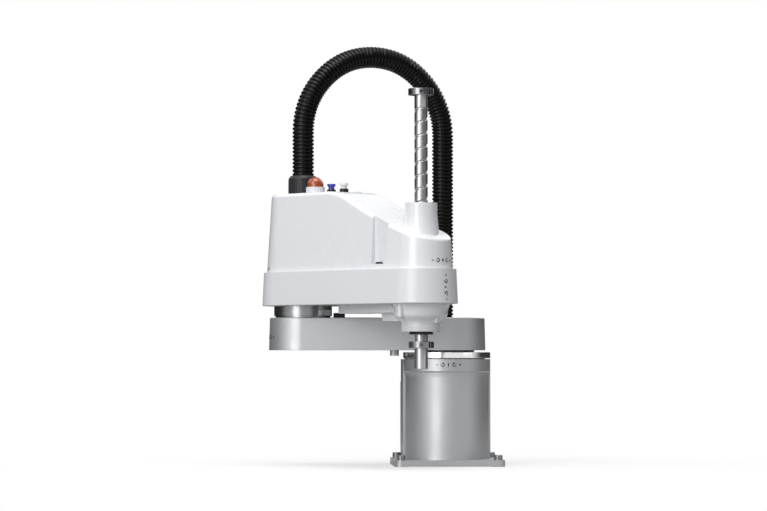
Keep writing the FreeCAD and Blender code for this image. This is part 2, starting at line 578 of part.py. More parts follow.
def nuts_and_belts():
    """The spline nut and screw nut on the shaft, their pulleys, belts and motors."""
    spline = rod("SplineBarrel", "spline_radius", "spline_top - spline_low",
                 x="arm_2_span", z="spline_low")
    spline_pulley = rod("SplinePulley", "pulley_radius", "pulley_height",
                        x="arm_2_span", z="spline_pulley_at")
    spline_rim = rod("SplineRim", "pulley_rim", "rim_height", x="arm_2_span",
                     z="spline_pulley_at + pulley_height")
    spline_bore = rod("SplineBore", "shaft_radius + slide_fit", "spline_top",
                      x="arm_2_span", z="spline_low")
    keep("spline_nut", "arm_2",
         less("SplineNut", joined("SplineForm", spline, spline_pulley, spline_rim), spline_bore))
    wiper_low = f"{ARM_2_AT} - boss_height - seal_ring_height - running_gap - wiper_height"
    wiper = rod("Wiper", "wiper_radius", "wiper_height", x="arm_2_span", z=wiper_low)
    neck = rod("WiperNeck", "spline_radius", f"spline_low - ({wiper_low})", x="arm_2_span", z=wiper_low)
    wiper_bore = rod("WiperBore", "shaft_radius + slide_fit", "spline_low",
                     x="arm_2_span", z=wiper_low)
    keep("shaft_wiper", "arm_2", less("WiperBody", joined("WiperForm", wiper, neck), wiper_bore))

    screw = rod("ScrewBarrel", "spline_radius", "screw_top - screw_low", x="arm_2_span", z="screw_low")
    screw_pulley = rod("ScrewPulley", "pulley_radius", "pulley_height", x="arm_2_span", z="screw_low")
    screw_rim = rod("ScrewRim", "pulley_rim", "rim_height", x="arm_2_span",
                    z="screw_low + pulley_height")
    screw_bore = rod("ScrewBore", "shaft_radius + slide_fit", "screw_top",
                     x="arm_2_span", z="screw_low")
    screw_form = joined("ScrewForm", screw, screw_pulley, screw_rim)
    keep("screw_nut", "arm_2", less("ScrewNut", screw_form, screw_bore))

    outline = round_ended("DrivePlateOutline", "drive_plate_half", "drive_plate_half",
                          "arm_2_span - drive_plate_start", "drive_plate_at", "drive_plate_start")
    plate = raised("DrivePlateForm", outline, "drive_plate_height")
    posts = [rod(f"Post{n}{m}", "post_radius", f"drive_plate_at - {FLOOR_2}",
                 x=x, y=f"{side} * post_side", z=FLOOR_2)
             for n, x in enumerate(("rear_post_at", "front_post_at"))
             for m, side in enumerate((1, -1))]
    nut_hole = rod("NutHole", "spline_radius + bearing_wall", "drive_plate_height", x="arm_2_span",
                   z="drive_plate_at")
    axle_holes = [rod(f"AxleHole{n}", "small_pulley", "drive_plate_height", x=x, z="drive_plate_at")
                  for n, x in enumerate(("lift_motor_at", "spin_motor_at"))]
    body = joined("DrivePlateBody", plate, *posts)
    keep("drive_plate", "arm_2", less("DrivePlate", body, nut_hole, *axle_holes))
    bearing = rod("BearingRing", "spline_radius + bearing_wall - slide_fit / 2", "drive_plate_height",
                  x="arm_2_span", z="drive_plate_at")
    bearing_bore = rod("BearingBore", "spline_radius + slide_fit", "drive_plate_height", x="arm_2_span",
                       z="drive_plate_at")
    keep("screw_bearing", "arm_2", less("ScrewBearing", bearing, bearing_bore))

    for node, at, height, pulley_at in (
        ("lift", "lift_motor_at", "lift_motor_height", "screw_low"),
        ("spin", "spin_motor_at", "spin_motor_height", "spline_pulley_at"),
    ):
        top = "(drive_plate_at + drive_plate_height)"
        barrel = block(node + "Barrel", "small_motor", "small_motor", height, x=at, z=top)
        axle = rod(node + "Axle", "motor_shaft - slide_fit", f"{top} - {pulley_at}", x=at, z=pulley_at)
        keep(node + "_motor", "arm_2", joined(node + "Motor", barrel, axle))
        wheel = rod(node + "Wheel", "small_pulley", "pulley_height", x=at, z=pulley_at)
        wheel_bore = rod(node + "WheelBore", "motor_shaft", "pulley_height", x=at, z=pulley_at)
        keep(node + "_motor_pulley", "arm_2", less(node + "Pulley", wheel, wheel_bore))
        belt_low = f"{pulley_at} + (pulley_height - belt_height) / 2"
        loops = [raised(node + word, round_ended(node + word + "Outline", f"small_pulley + {grow}",
                        f"pulley_radius + {grow}", f"arm_2_span - {at}", belt_low, at), "belt_height")
                 for word, grow in (("BeltOuter", "slide_fit + belt_depth"), ("BeltInner", "slide_fit"))]
        keep(node + "_belt", "arm_2", less(node + "Belt", *loops))


def gland(name, height, x, y, z):
    """A round gland with a tapered lip, bored for cables and seated for the duct's end."""
    body = rod(name + "Body", "gland_radius", f"{height} - gland_lip", x, y, z)
    lip = taper(name + "Lip", "gland_radius", "gland_radius - gland_taper", "gland_lip", x, y,
                f"{z} + {height} - gland_lip")
    through = rod(name + "Bore", "duct_bore", height, x, y, z)
    seat = rod(name + "Seat", "duct_radius + slide_fit", height, x, y, f"{z} + {height} - duct_entry")
    return less(name, joined(name + "Form", body, lip), through, seat)


def arm_place(along, side):
    """A point beside the second arm's middle line, towards the camera's side when positive."""
    return along, f"-({side})"


def cover_fittings():
    """The gland, lamp, air fittings, socket and brake button on the cover."""
    keep("arm_gland", "arm_2", gland("ArmGland", "gland_height", "0", "0", COVER_TOP))

    x, y = arm_place("lamp_at", "lamp_side")
    keep("lamp_base", "arm_2", rod("LampBase", "lamp_foot", "lamp_base", x=x, y=y, z=COVER_TOP))
    ball = bind(doc.addObject("Part::Sphere", "LampBall"), Radius="lamp_radius")
    place(ball, x, y, f"{COVER_TOP} + lamp_base + dome_skirt")
    skirt = rod("LampSkirt", "lamp_radius", "dome_skirt", x=x, y=y, z=f"{COVER_TOP} + lamp_base")
    above = rod("LampAbove", "lamp_foot", "lamp_foot + dome_skirt", x=x, y=y,
                z=f"{COVER_TOP} + lamp_base + dome_skirt")
    keep("lamp_dome", "arm_2", joined("LampDome", skirt, shared("LampCap", ball, above)))

    for node in ("first", "second"):
        x, y = arm_place(f"{node}_port_at", f"{node}_port_side")
        foot = rod(node + "Foot", "port_radius", "port_foot", x=x, y=y, z=COVER_TOP)
        neck = rod(node + "Neck", "port_neck", "port_height", x=x, y=y, z=COVER_TOP)
        cap = rod(node + "Cap", "port_cap", "port_rim", x=x, y=y,
                  z=f"{COVER_TOP} + port_height - port_rim")
        mouth = rod(node + "Mouth", "port_bore", "port_height", x=x, y=y,
                    z=f"{COVER_TOP} + port_floor")
        form = joined(node + "Form", foot, neck, cap)
        keep(node + "_air_fitting", "arm_2", less(node + "Port", form, mouth))
    x, y = arm_place("socket_at", "socket_side")
    keep("arm_socket", "arm_2",
         rod("ArmSocket", "round_socket", "round_socket_height", x=x, y=y, z=COVER_TOP))

    x, y = arm_place("button_at", "button_side")
    bezel = rod("Bezel", "bezel_radius", "bezel_height", x=x, y=y, z=COVER_TOP)
    well = rod("BezelBore", "button_radius + slide_fit", "bezel_height", x=x, y=y, z=COVER_TOP)
    keep("button_bezel", "arm_2", less("ButtonBezel", bezel, well))
    low = f"{COVER_TOP} + bezel_height + button_rise - button_length"
    keep("brake_button", "arm_2",
         rod("BrakeButton", "button_radius", "button_length", x=x, y=y, z=low))


def rounded_run(points):
    """Straight runs joined by tangent arcs, each as large as its two runs allow."""
    edges, radii, last = [], [], points[0]
    for before, corner, after in zip(points, points[1:], points[2:]):
        come, go = (before - corner), (after - corner)
        shorter = min(come.Length, go.Length) * size.duct_bend
        come.normalize()
        go.normalize()
        half_turn = (math.pi - come.getAngle(go)) / 2
        radius = shorter / math.tan(half_turn)
        first, third = corner + come * shorter, corner + go * shorter
        inward = (come + go).normalize()
        second = corner + inward * (radius / math.cos(half_turn) - radius)
        edges += [Part.makeLine(last, first), Part.Arc(first, second, third).toShape()]
        radii.append(round(radius, 1))
        last = third
    edges.append(Part.makeLine(last, points[-1]))
    path = Part.Wire(edges)
    print("duct arcs", radii, "length", round(path.Length, 1))
    return path


def duct():
    """The corrugated cable duct from the base over to the second arm, and the base's gland."""
    keep("base_gland", "base",
         gland("BaseGland", "base_gland_height", "0", "base_gland_at", "shelf_top"))

    foot = Vector(0, size.base_gland_at, size.shelf_top + size.base_gland_height - size.duct_entry)
    end = Vector(amount(FRAMES["arm_2"][0]), amount(FRAMES["arm_2"][1]),
                 amount(f"{COVER_TOP} + gland_height - duct_entry"))

    def over(share, height):
        """A point of the duct's plane: its share of the way across, and its height."""
        return Vector(foot.x + (end.x - foot.x) * share, foot.y + (end.y - foot.y) * share, height)

    path = rounded_run([
        foot, over(0, size.duct_eave), over(size.duct_share, size.duct_crown),
        over(1 - size.duct_share, size.duct_crown), over(1, size.duct_eave), end,
    ])
    ring = Part.Wire(Part.makeCircle(size.duct_radius, foot, UP))
    hole = Part.Wire(Part.makeCircle(size.duct_bore, foot, UP))
    tube = path.makePipeShell([ring], True, False).cut(path.makePipeShell([hole], True, False))
    item = doc.addObject("Part::Feature", "cable_duct")
    item.Shape = tube
    item.Label = "cable_duct"
    parts.append(item)


base_casting()
connector_panel()
first_axis()
first_arm()
second_axis()
second_arm()
cover()
shaft()
nuts_and_belts()
cover_fittings()
duct()

doc.recompute()
for item in doc.Objects:
    if "Invalid" in item.State or "Error" in item.State:
        raise RuntimeError(f"{item.Name} is {item.State}")
os.makedirs("parts", exist_ok=True)
for item in parts:
    if item.Shape.isNull() or not item.Shape.isValid():
        raise RuntimeError(f"{item.Label} has no valid shape")
    item.Shape.exportStep(f"parts/{item.Label}.step")
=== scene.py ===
"""The look of a four-axis selective-compliance robot arm around the solids of its frame.

It adds the ribbed duct, the grooved shaft, glands, fittings, screws, contacts, printed marks and
every finish. Lengths are in metres, in the frame's own axes: +Z up, -Y the robot's front.
"""
import math

import bmesh
import bpy
from mathutils import Matrix, Vector


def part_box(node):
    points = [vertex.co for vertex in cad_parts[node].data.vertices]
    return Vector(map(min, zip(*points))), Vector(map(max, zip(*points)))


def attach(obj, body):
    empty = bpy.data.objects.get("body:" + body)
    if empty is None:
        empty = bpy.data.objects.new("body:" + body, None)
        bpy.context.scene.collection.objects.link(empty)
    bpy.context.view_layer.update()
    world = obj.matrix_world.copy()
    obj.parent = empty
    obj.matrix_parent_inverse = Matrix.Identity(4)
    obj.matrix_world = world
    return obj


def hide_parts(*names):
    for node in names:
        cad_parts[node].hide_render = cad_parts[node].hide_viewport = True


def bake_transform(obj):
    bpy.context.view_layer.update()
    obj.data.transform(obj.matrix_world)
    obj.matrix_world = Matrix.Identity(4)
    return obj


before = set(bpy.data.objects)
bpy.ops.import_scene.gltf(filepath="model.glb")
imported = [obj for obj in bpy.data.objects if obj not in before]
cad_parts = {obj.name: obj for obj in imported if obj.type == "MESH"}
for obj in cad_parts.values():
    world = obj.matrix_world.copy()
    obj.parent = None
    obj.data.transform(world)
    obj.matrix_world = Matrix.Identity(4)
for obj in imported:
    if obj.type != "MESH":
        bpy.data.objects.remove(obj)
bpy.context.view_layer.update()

MM = 0.001
UP = Vector((0, 0, 1))
ARM_1_SPAN = 225 * MM
ARM_2_SPAN = 275 * MM
ARM_2_TURN = math.radians(-51)
ELBOW = Vector((-ARM_1_SPAN, 0, 0))
ALONG = Vector((math.cos(ARM_2_TURN), math.sin(ARM_2_TURN), 0))
OUTWARD = Vector((math.sin(ARM_2_TURN), -math.cos(ARM_2_TURN), 0))


def on_arm_2(along, side, height):
    """A point of the second arm: along it from the elbow, out to its camera side, and up."""
    return ELBOW + ALONG * along + OUTWARD * side + UP * height


def node_top(node):
    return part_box(node)[1][2]


def node_low(node):
    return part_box(node)[0][2]


# Camera

LENS_PIXELS = 3190
FRAME_WIDTH = 767
CAMERA_AT = Vector((-0.317, -4.991, 0.164))
HEADING = math.radians(2.5)
PITCH = math.radians(1.88)

camera_data = bpy.data.cameras.new("camera")
camera_data.sensor_width = 36
camera_data.lens = LENS_PIXELS / FRAME_WIDTH * camera_data.sensor_width
camera = bpy.data.objects.new("camera", camera_data)
bpy.context.scene.collection.objects.link(camera)
aim = Vector((math.sin(HEADING) * math.cos(PITCH), math.cos(HEADING) * math.cos(PITCH),
              math.sin(PITCH)))
camera.location = CAMERA_AT
camera.rotation_euler = aim.to_track_quat("-Z", "Y").to_euler()
bpy.context.scene.camera = camera


# Shared surface effects

DUST_SLOPE = 0.6
DUST_SCALE = 45
RUB_TURN = (0.4, 0.7, 0.5)
RUB_STRETCH = (1, 14, 14)
RUB_FROM, RUB_FULL = 0.62, 0.8


def node_group(name, inputs, outputs):
    """An empty shader group with named sockets, and its two ends."""
    tree = bpy.data.node_groups.new(name, "ShaderNodeTree")
    for label, value in inputs:
        socket = tree.interface.new_socket(label, in_out="INPUT", socket_type="NodeSocketFloat")
        socket.default_value = value
    for label in outputs:
        tree.interface.new_socket(label, in_out="OUTPUT", socket_type="NodeSocketFloat")
    return tree, tree.nodes.new("NodeGroupInput"), tree.nodes.new("NodeGroupOutput")


def add(tree, kind, links=None, **settings):
    """A node with settings, and its inputs linked or set by name or number."""
    item = tree.nodes.new("ShaderNode" + kind)
    for key, value in settings.items():
        setattr(item, key, value)
    for key, value in (links or {}).items():
        if isinstance(value, bpy.types.NodeSocket):
            tree.links.new(value, item.inputs[key])
        else:
            item.inputs[key].default_value = value
    return item


def grain_group():
    """Fine grain for the height, and slow clouds of tone."""
    tree, start, end = node_group("Surface grain", [("Grain size", 1), ("Cloud size", 60)],
                                  ["Grain", "Clouds"])
    place = add(tree, "TexCoord").outputs["Object"]
    for label, size, detail in (("Grain", "Grain size", 3), ("Clouds", "Cloud size", 4)):
        scale = add(tree, "Math", {0: 1 / MM, 1: start.outputs[size]}, operation="DIVIDE")
        noise = add(tree, "TexNoise", {"Vector": place, "Scale": scale.outputs[0], "Detail": detail})
        tree.links.new(noise.outputs["Fac"], end.inputs[label])
    return tree


def turned_group():
    """Lathe marks round an upright axis: fine rings on ends and fine lines round sides."""
    tree, start, end = node_group("Lathe marks", [("Axis X", 0), ("Axis Y", 0), ("Pitch", 0.4)],
                                  ["Marks"])
    place = add(tree, "TexCoord").outputs["Object"]
    axis = add(tree, "CombineXYZ", {0: start.outputs["Axis X"], 1: start.outputs["Axis Y"]})
    arm = add(tree, "VectorMath", {0: place, 1: axis.outputs[0]}, operation="SUBTRACT")
    split = add(tree, "SeparateXYZ", {0: arm.outputs[0]})
    flat = add(tree, "CombineXYZ", {0: split.outputs[0], 1: split.outputs[1]})
    reach = add(tree, "VectorMath", {0: flat.outputs[0]}, operation="LENGTH")
    ring = add(tree, "CombineXYZ", {0: reach.outputs["Value"], 1: split.outputs[2]})
    scale = add(tree, "Math", {0: 1 / MM, 1: start.outputs["Pitch"]}, operation="DIVIDE")
    noise = add(tree, "TexNoise", {"Vector": ring.outputs[0], "Scale": scale.outputs[0],
                                   "Detail": 2})
    tree.links.new(noise.outputs["Fac"], end.inputs["Marks"])
    return tree


def dust_group():
    """Where dust settles: faces that look up, broken by clouds."""
    tree, start, end = node_group("Settled dust", [("Amount", 0.2)], ["Dust"])
    coords = add(tree, "TexCoord")
    upward = add(tree, "SeparateXYZ", {0: coords.outputs["Normal"]})
    level = add(tree, "MapRange", {"Value": upward.outputs[2], "From Min": DUST_SLOPE,
                                   "From Max": 1})
    noise = add(tree, "TexNoise", {"Vector": coords.outputs["Object"], "Scale": DUST_SCALE,
                                   "Detail": 6})
    patchy = add(tree, "Math", {0: level.outputs[0], 1: noise.outputs["Fac"]}, operation="MULTIPLY")
    dust = add(tree, "Math", {0: patchy.outputs[0], 1: start.outputs["Amount"]}, operation="MULTIPLY")
    tree.links.new(dust.outputs[0], end.inputs["Dust"])
    return tree


def rub_group():
    """Short fine rubs and hairlines, thin and sparse."""
    tree, start, end = node_group("Handling rubs", [("Length", 14), ("Amount", 0.5)], ["Rubs"])
    place = add(tree, "TexCoord").outputs["Object"]
    drawn = add(tree, "Mapping", {"Vector": place, "Rotation": RUB_TURN, "Scale": RUB_STRETCH})
    scale = add(tree, "Math", {0: 1 / MM, 1: start.outputs["Length"]}, operation="DIVIDE")
    noise = add(tree, "TexNoise", {"Vector": drawn.outputs[0], "Scale": scale.outputs[0],
                                   "Detail": 5})
    thin = add(tree, "MapRange", {"Value": noise.outputs["Fac"], "From Min": RUB_FROM,
                                  "From Max": RUB_FULL})
    rubs = add(tree, "Math", {0: thin.outputs[0], 1: start.outputs["Amount"]}, operation="MULTIPLY")
    tree.links.new(rubs.outputs[0], end.inputs["Rubs"])
    return tree


GRAIN, TURNED, DUST, RUBS = grain_group(), turned_group(), dust_group(), rub_group()


# Finishes

DUST_GREY = (0.55, 0.54, 0.52, 1)
CLOUD_LOW, CLOUD_HIGH = 0.3, 0.7
RUB_ROUGHNESS = 0.18
DUST_ROUGHNESS = 0.4


def finish(name, colour, rough, metal=0.0, grain=1.0, bump=0.02, cloud=60, spread=0.06, dust=0.15,
           rubs=0.2, wear=0.15, turned=None, coat=0.0, **sockets):
    """A finish with clouds in its colour and roughness, settled dust, rubs and a fine grain."""
    material = bpy.data.materials.new(name)
    material.use_nodes = True
    tree = material.node_tree
    shader = tree.nodes["Principled BSDF"]
    shader.inputs["Metallic"].default_value = metal
    shader.inputs["Coat Weight"].default_value = coat
    for key, value in sockets.items():
        shader.inputs[key.replace("_", " ")].default_value = value
    surface = add(tree, "Group", node_tree=GRAIN)
    surface.inputs["Grain size"].default_value = grain
    surface.inputs["Cloud size"].default_value = cloud
    dusty = add(tree, "Group", node_tree=DUST)
    dusty.inputs["Amount"].default_value = dust
    rubbed = add(tree, "Group", node_tree=RUBS)
    rubbed.inputs["Amount"].default_value = rubs

    low = [c * (1 - spread) for c in colour]
    high = [min(1, c * (1 + spread)) for c in colour]
    base = add(tree, "Mix", {"Factor": surface.outputs["Clouds"]}, data_type="RGBA")
    base.inputs[6].default_value = (*low, 1)
    base.inputs[7].default_value = (*high, 1)
    dusted = add(tree, "Mix", {"Factor": dusty.outputs["Dust"], 6: base.outputs[2]},
                 data_type="RGBA")
    dusted.inputs[7].default_value = DUST_GREY
    tree.links.new(dusted.outputs[2], shader.inputs["Base Color"])

    worn = add(tree, "MapRange", {"Value": surface.outputs["Clouds"],
                                  "From Min": CLOUD_LOW, "From Max": CLOUD_HIGH,
                                  "To Min": rough * (1 - wear), "To Max": rough * (1 + wear)})
    rougher = add(tree, "Math", {0: rubbed.outputs["Rubs"], 1: RUB_ROUGHNESS, 2: worn.outputs[0]},
                  operation="MULTIPLY_ADD")
    dull = add(tree, "Math", {0: dusty.outputs["Dust"], 1: DUST_ROUGHNESS, 2: rougher.outputs[0]},
               operation="MULTIPLY_ADD")
    tree.links.new(dull.outputs[0], shader.inputs["Roughness"])

    height = surface.outputs["Grain"]
    if turned:
        lathe = add(tree, "Group", node_tree=TURNED)
        lathe.inputs["Axis X"].default_value = turned[0]
        lathe.inputs["Axis Y"].default_value = turned[1]
        height = lathe.outputs["Marks"]
    relief = add(tree, "Bump", {"Height": height, "Strength": bump, "Distance": grain * MM})
    tree.links.new(relief.outputs[0], shader.inputs["Normal"])
    return material


SHAFT_AT = on_arm_2(ARM_2_SPAN, 0, 0)
SILVER_PAINT = finish("silver paint", (0.44, 0.45, 0.46), 0.42, metal=0.7, grain=0.5, bump=0.12,
                      spread=0.04, rubs=0.1, coat=0.1)
WHITE_PAINT = finish("white paint", (0.72, 0.73, 0.755), 0.34, grain=0.6, bump=0.10, spread=0.02,
                     dust=0.04, rubs=0.03, wear=0.04, coat=0.2)
WHITE_PLASTIC = finish("white moulded cover", (0.76, 0.77, 0.795), 0.27, grain=0.4, bump=0.06,
                       spread=0.015, dust=0.03, rubs=0.02, wear=0.03, coat=0.3)
RING_STEEL = finish("polished ring", (0.78, 0.78, 0.79), 0.16, metal=1, bump=0.012, spread=0.03,
                    dust=0.05, turned=(0, 0))
SHAFT_STEEL = finish("ground shaft", (0.42, 0.42, 0.43), 0.33, metal=1, bump=0.04, spread=0.03,
                     dust=0.03, turned=(SHAFT_AT.x, SHAFT_AT.y))
COLLAR_STEEL = finish("turned collar", (0.22, 0.22, 0.23), 0.3, metal=1, bump=0.06, spread=0.03,
                      turned=(SHAFT_AT.x, SHAFT_AT.y))
ELBOW_STEEL = finish("elbow unit", (0.26, 0.265, 0.27), 0.25, metal=1, bump=0.06, spread=0.05,
                     turned=(ELBOW.x, ELBOW.y))
DISC_STEEL = finish("dark disc", (0.05, 0.05, 0.055), 0.35, metal=0.8, bump=0.05, spread=0.06,
                    turned=(0, 0))
PLATE_STEEL = finish("panel plate", (0.55, 0.56, 0.57), 0.38, metal=1, grain=0.3, bump=0.08,
                     spread=0.05)
BLACK_OXIDE = finish("black oxide", (0.018, 0.018, 0.02), 0.38, metal=0.6, grain=0.2, bump=0.06,
                     spread=0.15)
SCREW_STEEL = finish("screw steel", (0.22, 0.22, 0.23), 0.3, metal=1, grain=0.2, bump=0.05,
                     spread=0.08)
MILLED = finish("milled aluminium", (0.7, 0.7, 0.71), 0.35, metal=1, grain=0.3, bump=0.08,
                spread=0.04)
DUCT_PLASTIC = finish("ribbed duct", (0.004, 0.004, 0.0045), 0.22, grain=0.4, bump=0.05, spread=0.2,
                      dust=0.005, rubs=0.1, Specular_IOR_Level=0.17)
GREY_PLASTIC = finish("grey gland", (0.02, 0.021, 0.023), 0.42, grain=0.3, bump=0.1, spread=0.12,
                      dust=0.03, Specular_IOR_Level=0.3)
BLACK_PLASTIC = finish("black plastic", (0.010, 0.010, 0.011), 0.4, grain=0.3, bump=0.08, spread=0.15,
                       dust=0.04, Specular_IOR_Level=0.3)
BLUE_PLASTIC = finish("blue plastic", (0.035, 0.045, 0.38), 0.3, grain=0.3, bump=0.05,
                      spread=0.08, dust=0.05)
PALE_PLASTIC = finish("pale plastic", (0.66, 0.67, 0.69), 0.35, grain=0.3, bump=0.05, spread=0.05)
ORANGE_PLASTIC = finish("orange dome", (0.33, 0.062, 0.01), 0.14, grain=0.4, bump=0.02, spread=0.12,
                        dust=0.0, coat=0.4, Subsurface_Weight=0.1, Subsurface_Scale=0.003)
BELT_RUBBER = finish("belt rubber", (0.02, 0.02, 0.02), 0.6, grain=0.5, bump=0.15, spread=0.15)
GOLD = finish("gilt contacts", (0.75, 0.5, 0.2), 0.3, metal=1, grain=0.2, bump=0.03, spread=0.06)
INK = finish("printed ink", (0.02, 0.02, 0.024), 0.5, grain=0.3, bump=0.03, spread=0.1, dust=0,
             Specular_IOR_Level=0.3)

FINISH_OF = {
    "base_casting": SILVER_PAINT, "arm_1_casting": SILVER_PAINT, "arm_1_lid": SILVER_PAINT,
    "base_stop_pin": SILVER_PAINT, "arm_2_casting": WHITE_PAINT, "belt_pod": WHITE_PAINT,
    "shaft_housing": WHITE_PLASTIC, "arm_2_cover": WHITE_PLASTIC, "lamp_base": PALE_PLASTIC,
    "shaft_seal_ring": PALE_PLASTIC, "base_reducer_ring": RING_STEEL,
    "upper_stop_collar": COLLAR_STEEL, "lower_stop_collar": COLLAR_STEEL,
    "base_output_disc": DISC_STEEL, "elbow_turn_disc": ELBOW_STEEL, "elbow_reducer": ELBOW_STEEL,
    "connector_panel": PLATE_STEEL, "base_stop_blocks": BLACK_OXIDE,
    "elbow_stop_block": BLACK_OXIDE, "drive_plate": MILLED, "spline_nut": SHAFT_STEEL,
    "screw_nut": SHAFT_STEEL, "spline_bearing": SHAFT_STEEL, "screw_bearing": SHAFT_STEEL,
    "lift_motor_pulley": MILLED, "spin_motor_pulley": MILLED, "base_motor": BLACK_OXIDE,
    "elbow_motor": BLACK_OXIDE, "lift_motor": BLACK_OXIDE, "spin_motor": BLACK_OXIDE,
    "lift_belt": BELT_RUBBER, "spin_belt": BELT_RUBBER, "shaft_wiper": BLACK_PLASTIC,
    "power_connector": BLACK_PLASTIC, "signal_connector": BLACK_PLASTIC,
    "user_connector": BLACK_PLASTIC, "lamp_dome": ORANGE_PLASTIC, "button_bezel": PALE_PLASTIC,
    "brake_button": PALE_PLASTIC,
}
# How wide each node's edges are rounded, in millimetres
SOFTENED = {
    "base_casting": 0.9, "arm_1_casting": 1.2, "arm_1_lid": 0.6, "base_stop_pin": 0.8,
    "arm_2_casting": 1.2, "belt_pod": 1.0, "shaft_housing": 0.5, "arm_2_cover": 0.8,
    "lamp_base": 0.8, "shaft_seal_ring": 1.0, "base_reducer_ring": 0.7, "upper_stop_collar": 0.6,
    "lower_stop_collar": 0.6, "base_output_disc": 0.4, "elbow_turn_disc": 0.4,
    "elbow_reducer": 0.7, "connector_panel": 0.4, "base_stop_blocks": 0.8,
    "elbow_stop_block": 0.8, "power_connector": 0.5, "signal_connector": 0.5,
    "user_connector": 0.5, "button_bezel": 0.5, "brake_button": 0.5, "shaft_wiper": 0.4,
}
WELD_GAP = 0.01 * MM
SHARP = math.radians(38)
CREASES = {"base_casting": math.radians(25)}


def soften(node, width, crease):
    """Rounds a solid's sharp edges a little and shades its curved faces smooth."""
    node.data.polygons.foreach_set("use_smooth", [True] * len(node.data.polygons))
    weld = node.modifiers.new("weld", "WELD")
    weld.merge_threshold = WELD_GAP
    if width:
        bevel = node.modifiers.new("soft edges", "BEVEL")
        bevel.width = width * MM
        bevel.segments = 2
        bevel.limit_method = "ANGLE"
        bevel.angle_limit = crease
    split = node.modifiers.new("hard creases", "EDGE_SPLIT")
    split.split_angle = crease
    split.use_edge_sharp = False
    flat = node.modifiers.new("flat faces stay flat", "WEIGHTED_NORMAL")
    flat.keep_sharp = True


for name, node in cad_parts.items():
    if name in FINISH_OF:
        node.data.materials.clear()
        node.data.materials.append(FINISH_OF[name])
        soften(node, SOFTENED.get(name, 0), CREASES.get(name, SHARP))


# Making a piece from a mesh

SAME_POINT = 0.002 * MM

def piece(name, bm, body, slot, *materials, replaces=(), smooth=True):
    """A finished bmesh as an object that rides on a body."""
    bmesh.ops.remove_doubles(bm, verts=bm.verts, dist=SAME_POINT)
    bmesh.ops.recalc_face_normals(bm, faces=bm.faces)
    mesh = bpy.data.meshes.new(name)
    bm.to_mesh(mesh)
    bm.free()
    for material in materials:
        mesh.materials.append(material)
    item = bpy.data.objects.new(name, mesh)
    bpy.context.scene.collection.objects.link(item)
    if smooth:
        mesh.shade_smooth()
        mesh.set_sharp_from_angle(angle=SHARP)
    if replaces:
        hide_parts(*replaces)
    if body:
        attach(item, body)
    return item


def turned_form(bm, outline, sides=48, matrix=None, material=0):
    """Spins an outline of (radius, height) in millimetres about the local Z axis."""
    verts = [bm.verts.new((r * MM, 0, z * MM)) for r, z in outline]
    edges = [bm.edges.new(pair) for pair in zip(verts, verts[1:])]
    made = bmesh.ops.spin(bm, geom=verts + edges, axis=UP, cent=(0, 0, 0), steps=sides,
                          angle=2 * math.pi, use_merge=True)
    faces = {f for v in verts for f in v.link_faces}
    grown = set(faces)
    while faces:
        faces = {g for f in faces for e in f.edges for g in e.link_faces} - grown
        grown |= faces
    for face in grown:
        face.material_index = material
    verts = list({v for f in grown for v in f.verts})
    bmesh.ops.transform(bm, matrix=matrix or Matrix(), verts=verts)
    return verts


def at(point, turn=0.0, facing=None):
    """A place: a point, a turn about the vertical, or a direction that local Z looks along."""
    if facing:
        turned = facing.to_track_quat("Z", "Y").to_matrix().to_4x4()
    else:
        turned = Matrix.Rotation(turn, 4, "Z")
    return Matrix.Translation(point) @ turned


SCREW_SIDES = 32
SCREW_EDGE = 0.12
KEY_MOUTH, KEY_REACH = 1.25, 1.4
KEY_DEPTH = 0.6


def cap_screw(bm, matrix, radius, height, key):
    """A socket cap screw's head with its hexagonal key hole, from its seat up."""
    edge = SCREW_EDGE * radius
    turned_form(bm, [(radius * 0.2, 0), (radius, 0), (radius, height - edge), (radius - edge, height),
                     (key * KEY_MOUTH, height)], SCREW_SIDES, matrix)
    rim = [e for e in bm.edges if len(e.link_faces) == 1]
    heights = {e: (matrix.inverted() @ e.verts[0].co).z for e in rim}
    rim = [e for e in rim if abs(heights[e] - height * MM) < 0.01 * MM
           and (matrix.inverted() @ e.verts[0].co).xy.length < key * KEY_REACH * MM]
    hexagon = bmesh.ops.create_circle(bm, segments=6, radius=key * MM,
                                      matrix=matrix @ Matrix.Translation(UP * height * MM))["verts"]
    mouth = list({e for v in hexagon for e in v.link_edges})
    bmesh.ops.bridge_loops(bm, edges=rim + mouth)
    floor = bmesh.ops.extrude_edge_only(bm, edges=mouth)["geom"]
    deep = [g for g in floor if isinstance(g, bmesh.types.BMVert)]
    bmesh.ops.translate(bm, verts=deep, vec=matrix.to_3x3() @ UP * -height * KEY_DEPTH * MM)
    bmesh.ops.contextual_create(bm, geom=deep)


# Cable duct

DUCT_RADIUS = 17
DUCT_FOOT = Vector((0, 0.100, 0.145))
DUCT_END = Vector((-0.225, 0, 0.4402))
DUCT_EAVE = 0.5716
DUCT_CROWN = 0.6437
CROWN_SHARE = 0.293
STRAIGHT_AT = 0.470
RIB_PITCH = 5.9
# One rib as (share of the pitch, radius)
RIB_PROFILE = [(0.00, 14.8), (0.16, 14.8), (0.34, 16.6), (0.57, 17.0), (0.80, 16.6)]
DUCT_SIDES = 32


def over(share, height):
    """A point in the duct's plane: its share of the way across, and its height."""
    flat = DUCT_FOOT.lerp(DUCT_END, share)
    return Vector((flat.x, flat.y, height))


duct_route = [
    DUCT_FOOT, over(0, STRAIGHT_AT), over(0, DUCT_EAVE), over(CROWN_SHARE, DUCT_CROWN),
    over(1 - CROWN_SHARE, DUCT_CROWN), over(1, DUCT_EAVE), over(1, STRAIGHT_AT), DUCT_END,
]


